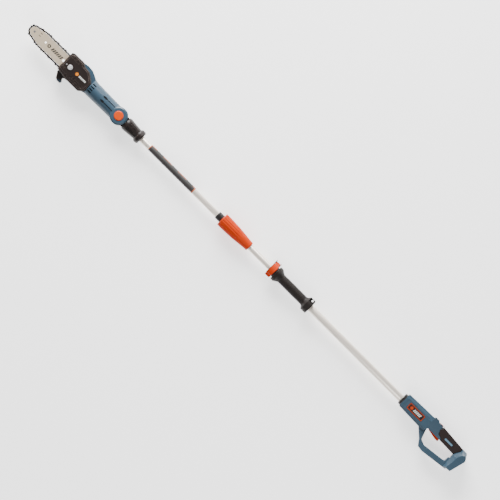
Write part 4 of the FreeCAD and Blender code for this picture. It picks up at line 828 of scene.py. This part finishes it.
@dataclass
class Handle:
    """Rear handle, trigger and battery foot."""

    edge: float = 1.4

    def build(self) -> None:
        """Round the moulded pieces."""
        for node in ("handle_shell_left", "handle_shell_right"):
            soften(node, Finishes.SHELL, Finishes.SHELL_HIGHLIGHT, self.edge)
        soften("rear_grip_sleeve", Finishes.REAR_GRIP, Finishes.REAR_GRIP, 1.0)
        soften("tube_boot", Finishes.BLACK, Finishes.BLACK_HIGHLIGHT, 0.9)
        soften("trigger", Finishes.ORANGE, Finishes.ORANGE_HIGHLIGHT, 1.6)
        soften("lock_off_slider", Finishes.ORANGE, Finishes.ORANGE_HIGHLIGHT, 0.4)
        soften("handle_badge", Finishes.NAME_PLATE, Finishes.BLACK_HIGHLIGHT, 0.3)
        soften("grip_inlay", Finishes.INLAY, Finishes.INLAY, 0.3)

    def dress(self) -> None:
        """Finish the inner parts."""
        for node in ("power_switch", "battery_terminal_block"):
            dress(node, Finishes.BLACK)
        for node in ("terminal_blades", "trigger_pin", "trigger_spring", "lock_off_spring"):
            dress(node, Finishes.BRIGHT)
        dress("handle_screws", Finishes.DARK_STEEL)
        dress("control_board", Finishes.BOARD)


@dataclass
class SawHead:
    """Tilting head with its cover, bar and chain."""

    edge: float = 1.2

    def build(self) -> None:
        """Round the moulded pieces."""
        for node in ("head_shell_left", "head_shell_right"):
            soften(node, Finishes.HEAD_SHELL, Finishes.SHELL_HIGHLIGHT, self.edge)
        soften("sprocket_cover", Finishes.COVER, Finishes.COVER_HIGHLIGHT, 0.8)
        soften("branch_hook", Finishes.HOOK, Finishes.COVER_HIGHLIGHT, 1.4)
        soften("pivot_button", Finishes.BUTTON, Finishes.ORANGE_HIGHLIGHT, 1.2)
        soften("guide_bar", Finishes.BAR, Finishes.BRIGHT, 0.25, 50.0)
        soften("bar_nut", Finishes.BRIGHT, Finishes.BRIGHT, 0.4)

    def dress(self) -> None:
        """Finish the metal and inner parts."""
        finishes = {
            Finishes.CHAIN: ["chain"],
            Finishes.DARK_STEEL: ["head_screws", "motor_can", "motor_magnets"],
            Finishes.BRIGHT: ["tension_pin", "tension_screw", "bar_stud", "pivot_axle", "button_spring"],
            Finishes.GEAR: ["nose_rivet", "nose_sprocket", "gearbox_housing", "head_bearings", "drive_spindle",
                            "bevel_gear", "bevel_pinion", "drive_sprocket"],
            Finishes.BLACK: ["oil_pump", "cooling_fan"],
            Finishes.TANK: ["oil_tank"],
            Finishes.ORANGE: ["oil_cap"],
            Finishes.EMBLEM: ["cover_badge"],
            Finishes.COPPER: ["motor_armature"]}
        for finish, nodes in finishes.items():
            for node in nodes:
                dress(node, finish)


# ------------------------------------------------------------------ studio

@dataclass(frozen=True)
class Lamp:
    """Square area light: place and side in metres, power in watts."""

    name: str
    place: tuple[float, float, float]
    side: float
    power: float


@dataclass
class Studio:
    """Pale floor, soft lights and a long-lens camera straight above.  Sizes in metres, roll in degrees."""

    centre: tuple[float, float] = (0.0223, 0.0082)
    view_width: float = 1.875
    distance: float = 14.0
    roll: float = 45.0
    object_level: float = 0.05
    floor_half: float = 8.0
    floor_dark: Colour = (0.93, 0.93, 0.93)
    floor_light: Colour = (0.96, 0.96, 0.96)
    glow: float = 1.25
    room_light: float = 0.3
    sensor: float = 36.0
    lamps: tuple[Lamp, ...] = (Lamp("key", (-3.5, 3.7, 2.1), 4.0, 1250.0), Lamp("fill", (2.8, -2.4, 3.4), 3.0, 150.0))

    def build(self) -> None:
        """Make the floor, lights and camera."""
        half = self.floor_half
        mesh = bpy.data.meshes.new("floor")
        mesh.from_pydata([(-half, -half, 0), (half, -half, 0), (-half, half, 0), (half, half, 0)], [], [(0, 1, 3, 2)])
        kit = NodeKit("floor_paper")
        tone = kit.blend(kit.noise(3.0, 2.0), self.floor_dark, self.floor_light)
        paper = kit.finish(tone, 0.9, Emission_Strength=self.glow)
        kit.shader.inputs["Emission Color"].default_value = (1.0, 1.0, 1.0, 1.0)
        mesh.materials.append(paper)
        floor = new_object("floor", mesh)
        for lamp in self.lamps:
            self.light(lamp)
        world = bpy.data.worlds.new("soft_room")
        world.use_nodes = True
        world.node_tree.nodes["Background"].inputs[0].default_value = (1, 1, 1, 1)
        world.node_tree.nodes["Background"].inputs[1].default_value = self.room_light
        bpy.context.scene.world = world
        self.camera()

    def light(self, lamp: Lamp) -> None:
        """Add an area light aimed at the middle of the tool."""
        data = bpy.data.lights.new(lamp.name, "AREA")
        data.size = lamp.side
        data.energy = lamp.power
        light = bpy.data.objects.new(lamp.name, data)
        aim = Vector((*self.centre, 0)) - Vector(lamp.place)
        light.matrix_world = Matrix.Translation(lamp.place) @ aim.to_track_quat("-Z", "Y").to_matrix().to_4x4()
        bpy.context.scene.collection.objects.link(light)

    def camera(self) -> None:
        """Camera above the tool, rolled so that the head lies at the upper left."""
        data = bpy.data.cameras.new("camera")
        data.sensor_width = self.sensor
        data.lens = self.sensor * (self.distance - self.object_level) / self.view_width
        data.clip_end = 100.0
        camera = bpy.data.objects.new("camera", data)
        camera.matrix_world = (Matrix.Translation((*self.centre, self.distance))
                               @ Matrix.Rotation(math.radians(self.roll), 4, "Z"))
        bpy.context.scene.collection.objects.link(camera)
        bpy.context.scene.camera = camera


def main() -> None:
    """Build and dress every sub-assembly, then the studio."""
    logging.basicConfig(level=logging.INFO, format="%(message)s")
    Studio().build()
    for assembly in (SawHead(), Pole(), Foregrip(), Handle()):
        assembly.build()
        assembly.dress()


if __name__ == "__main__":
    main()
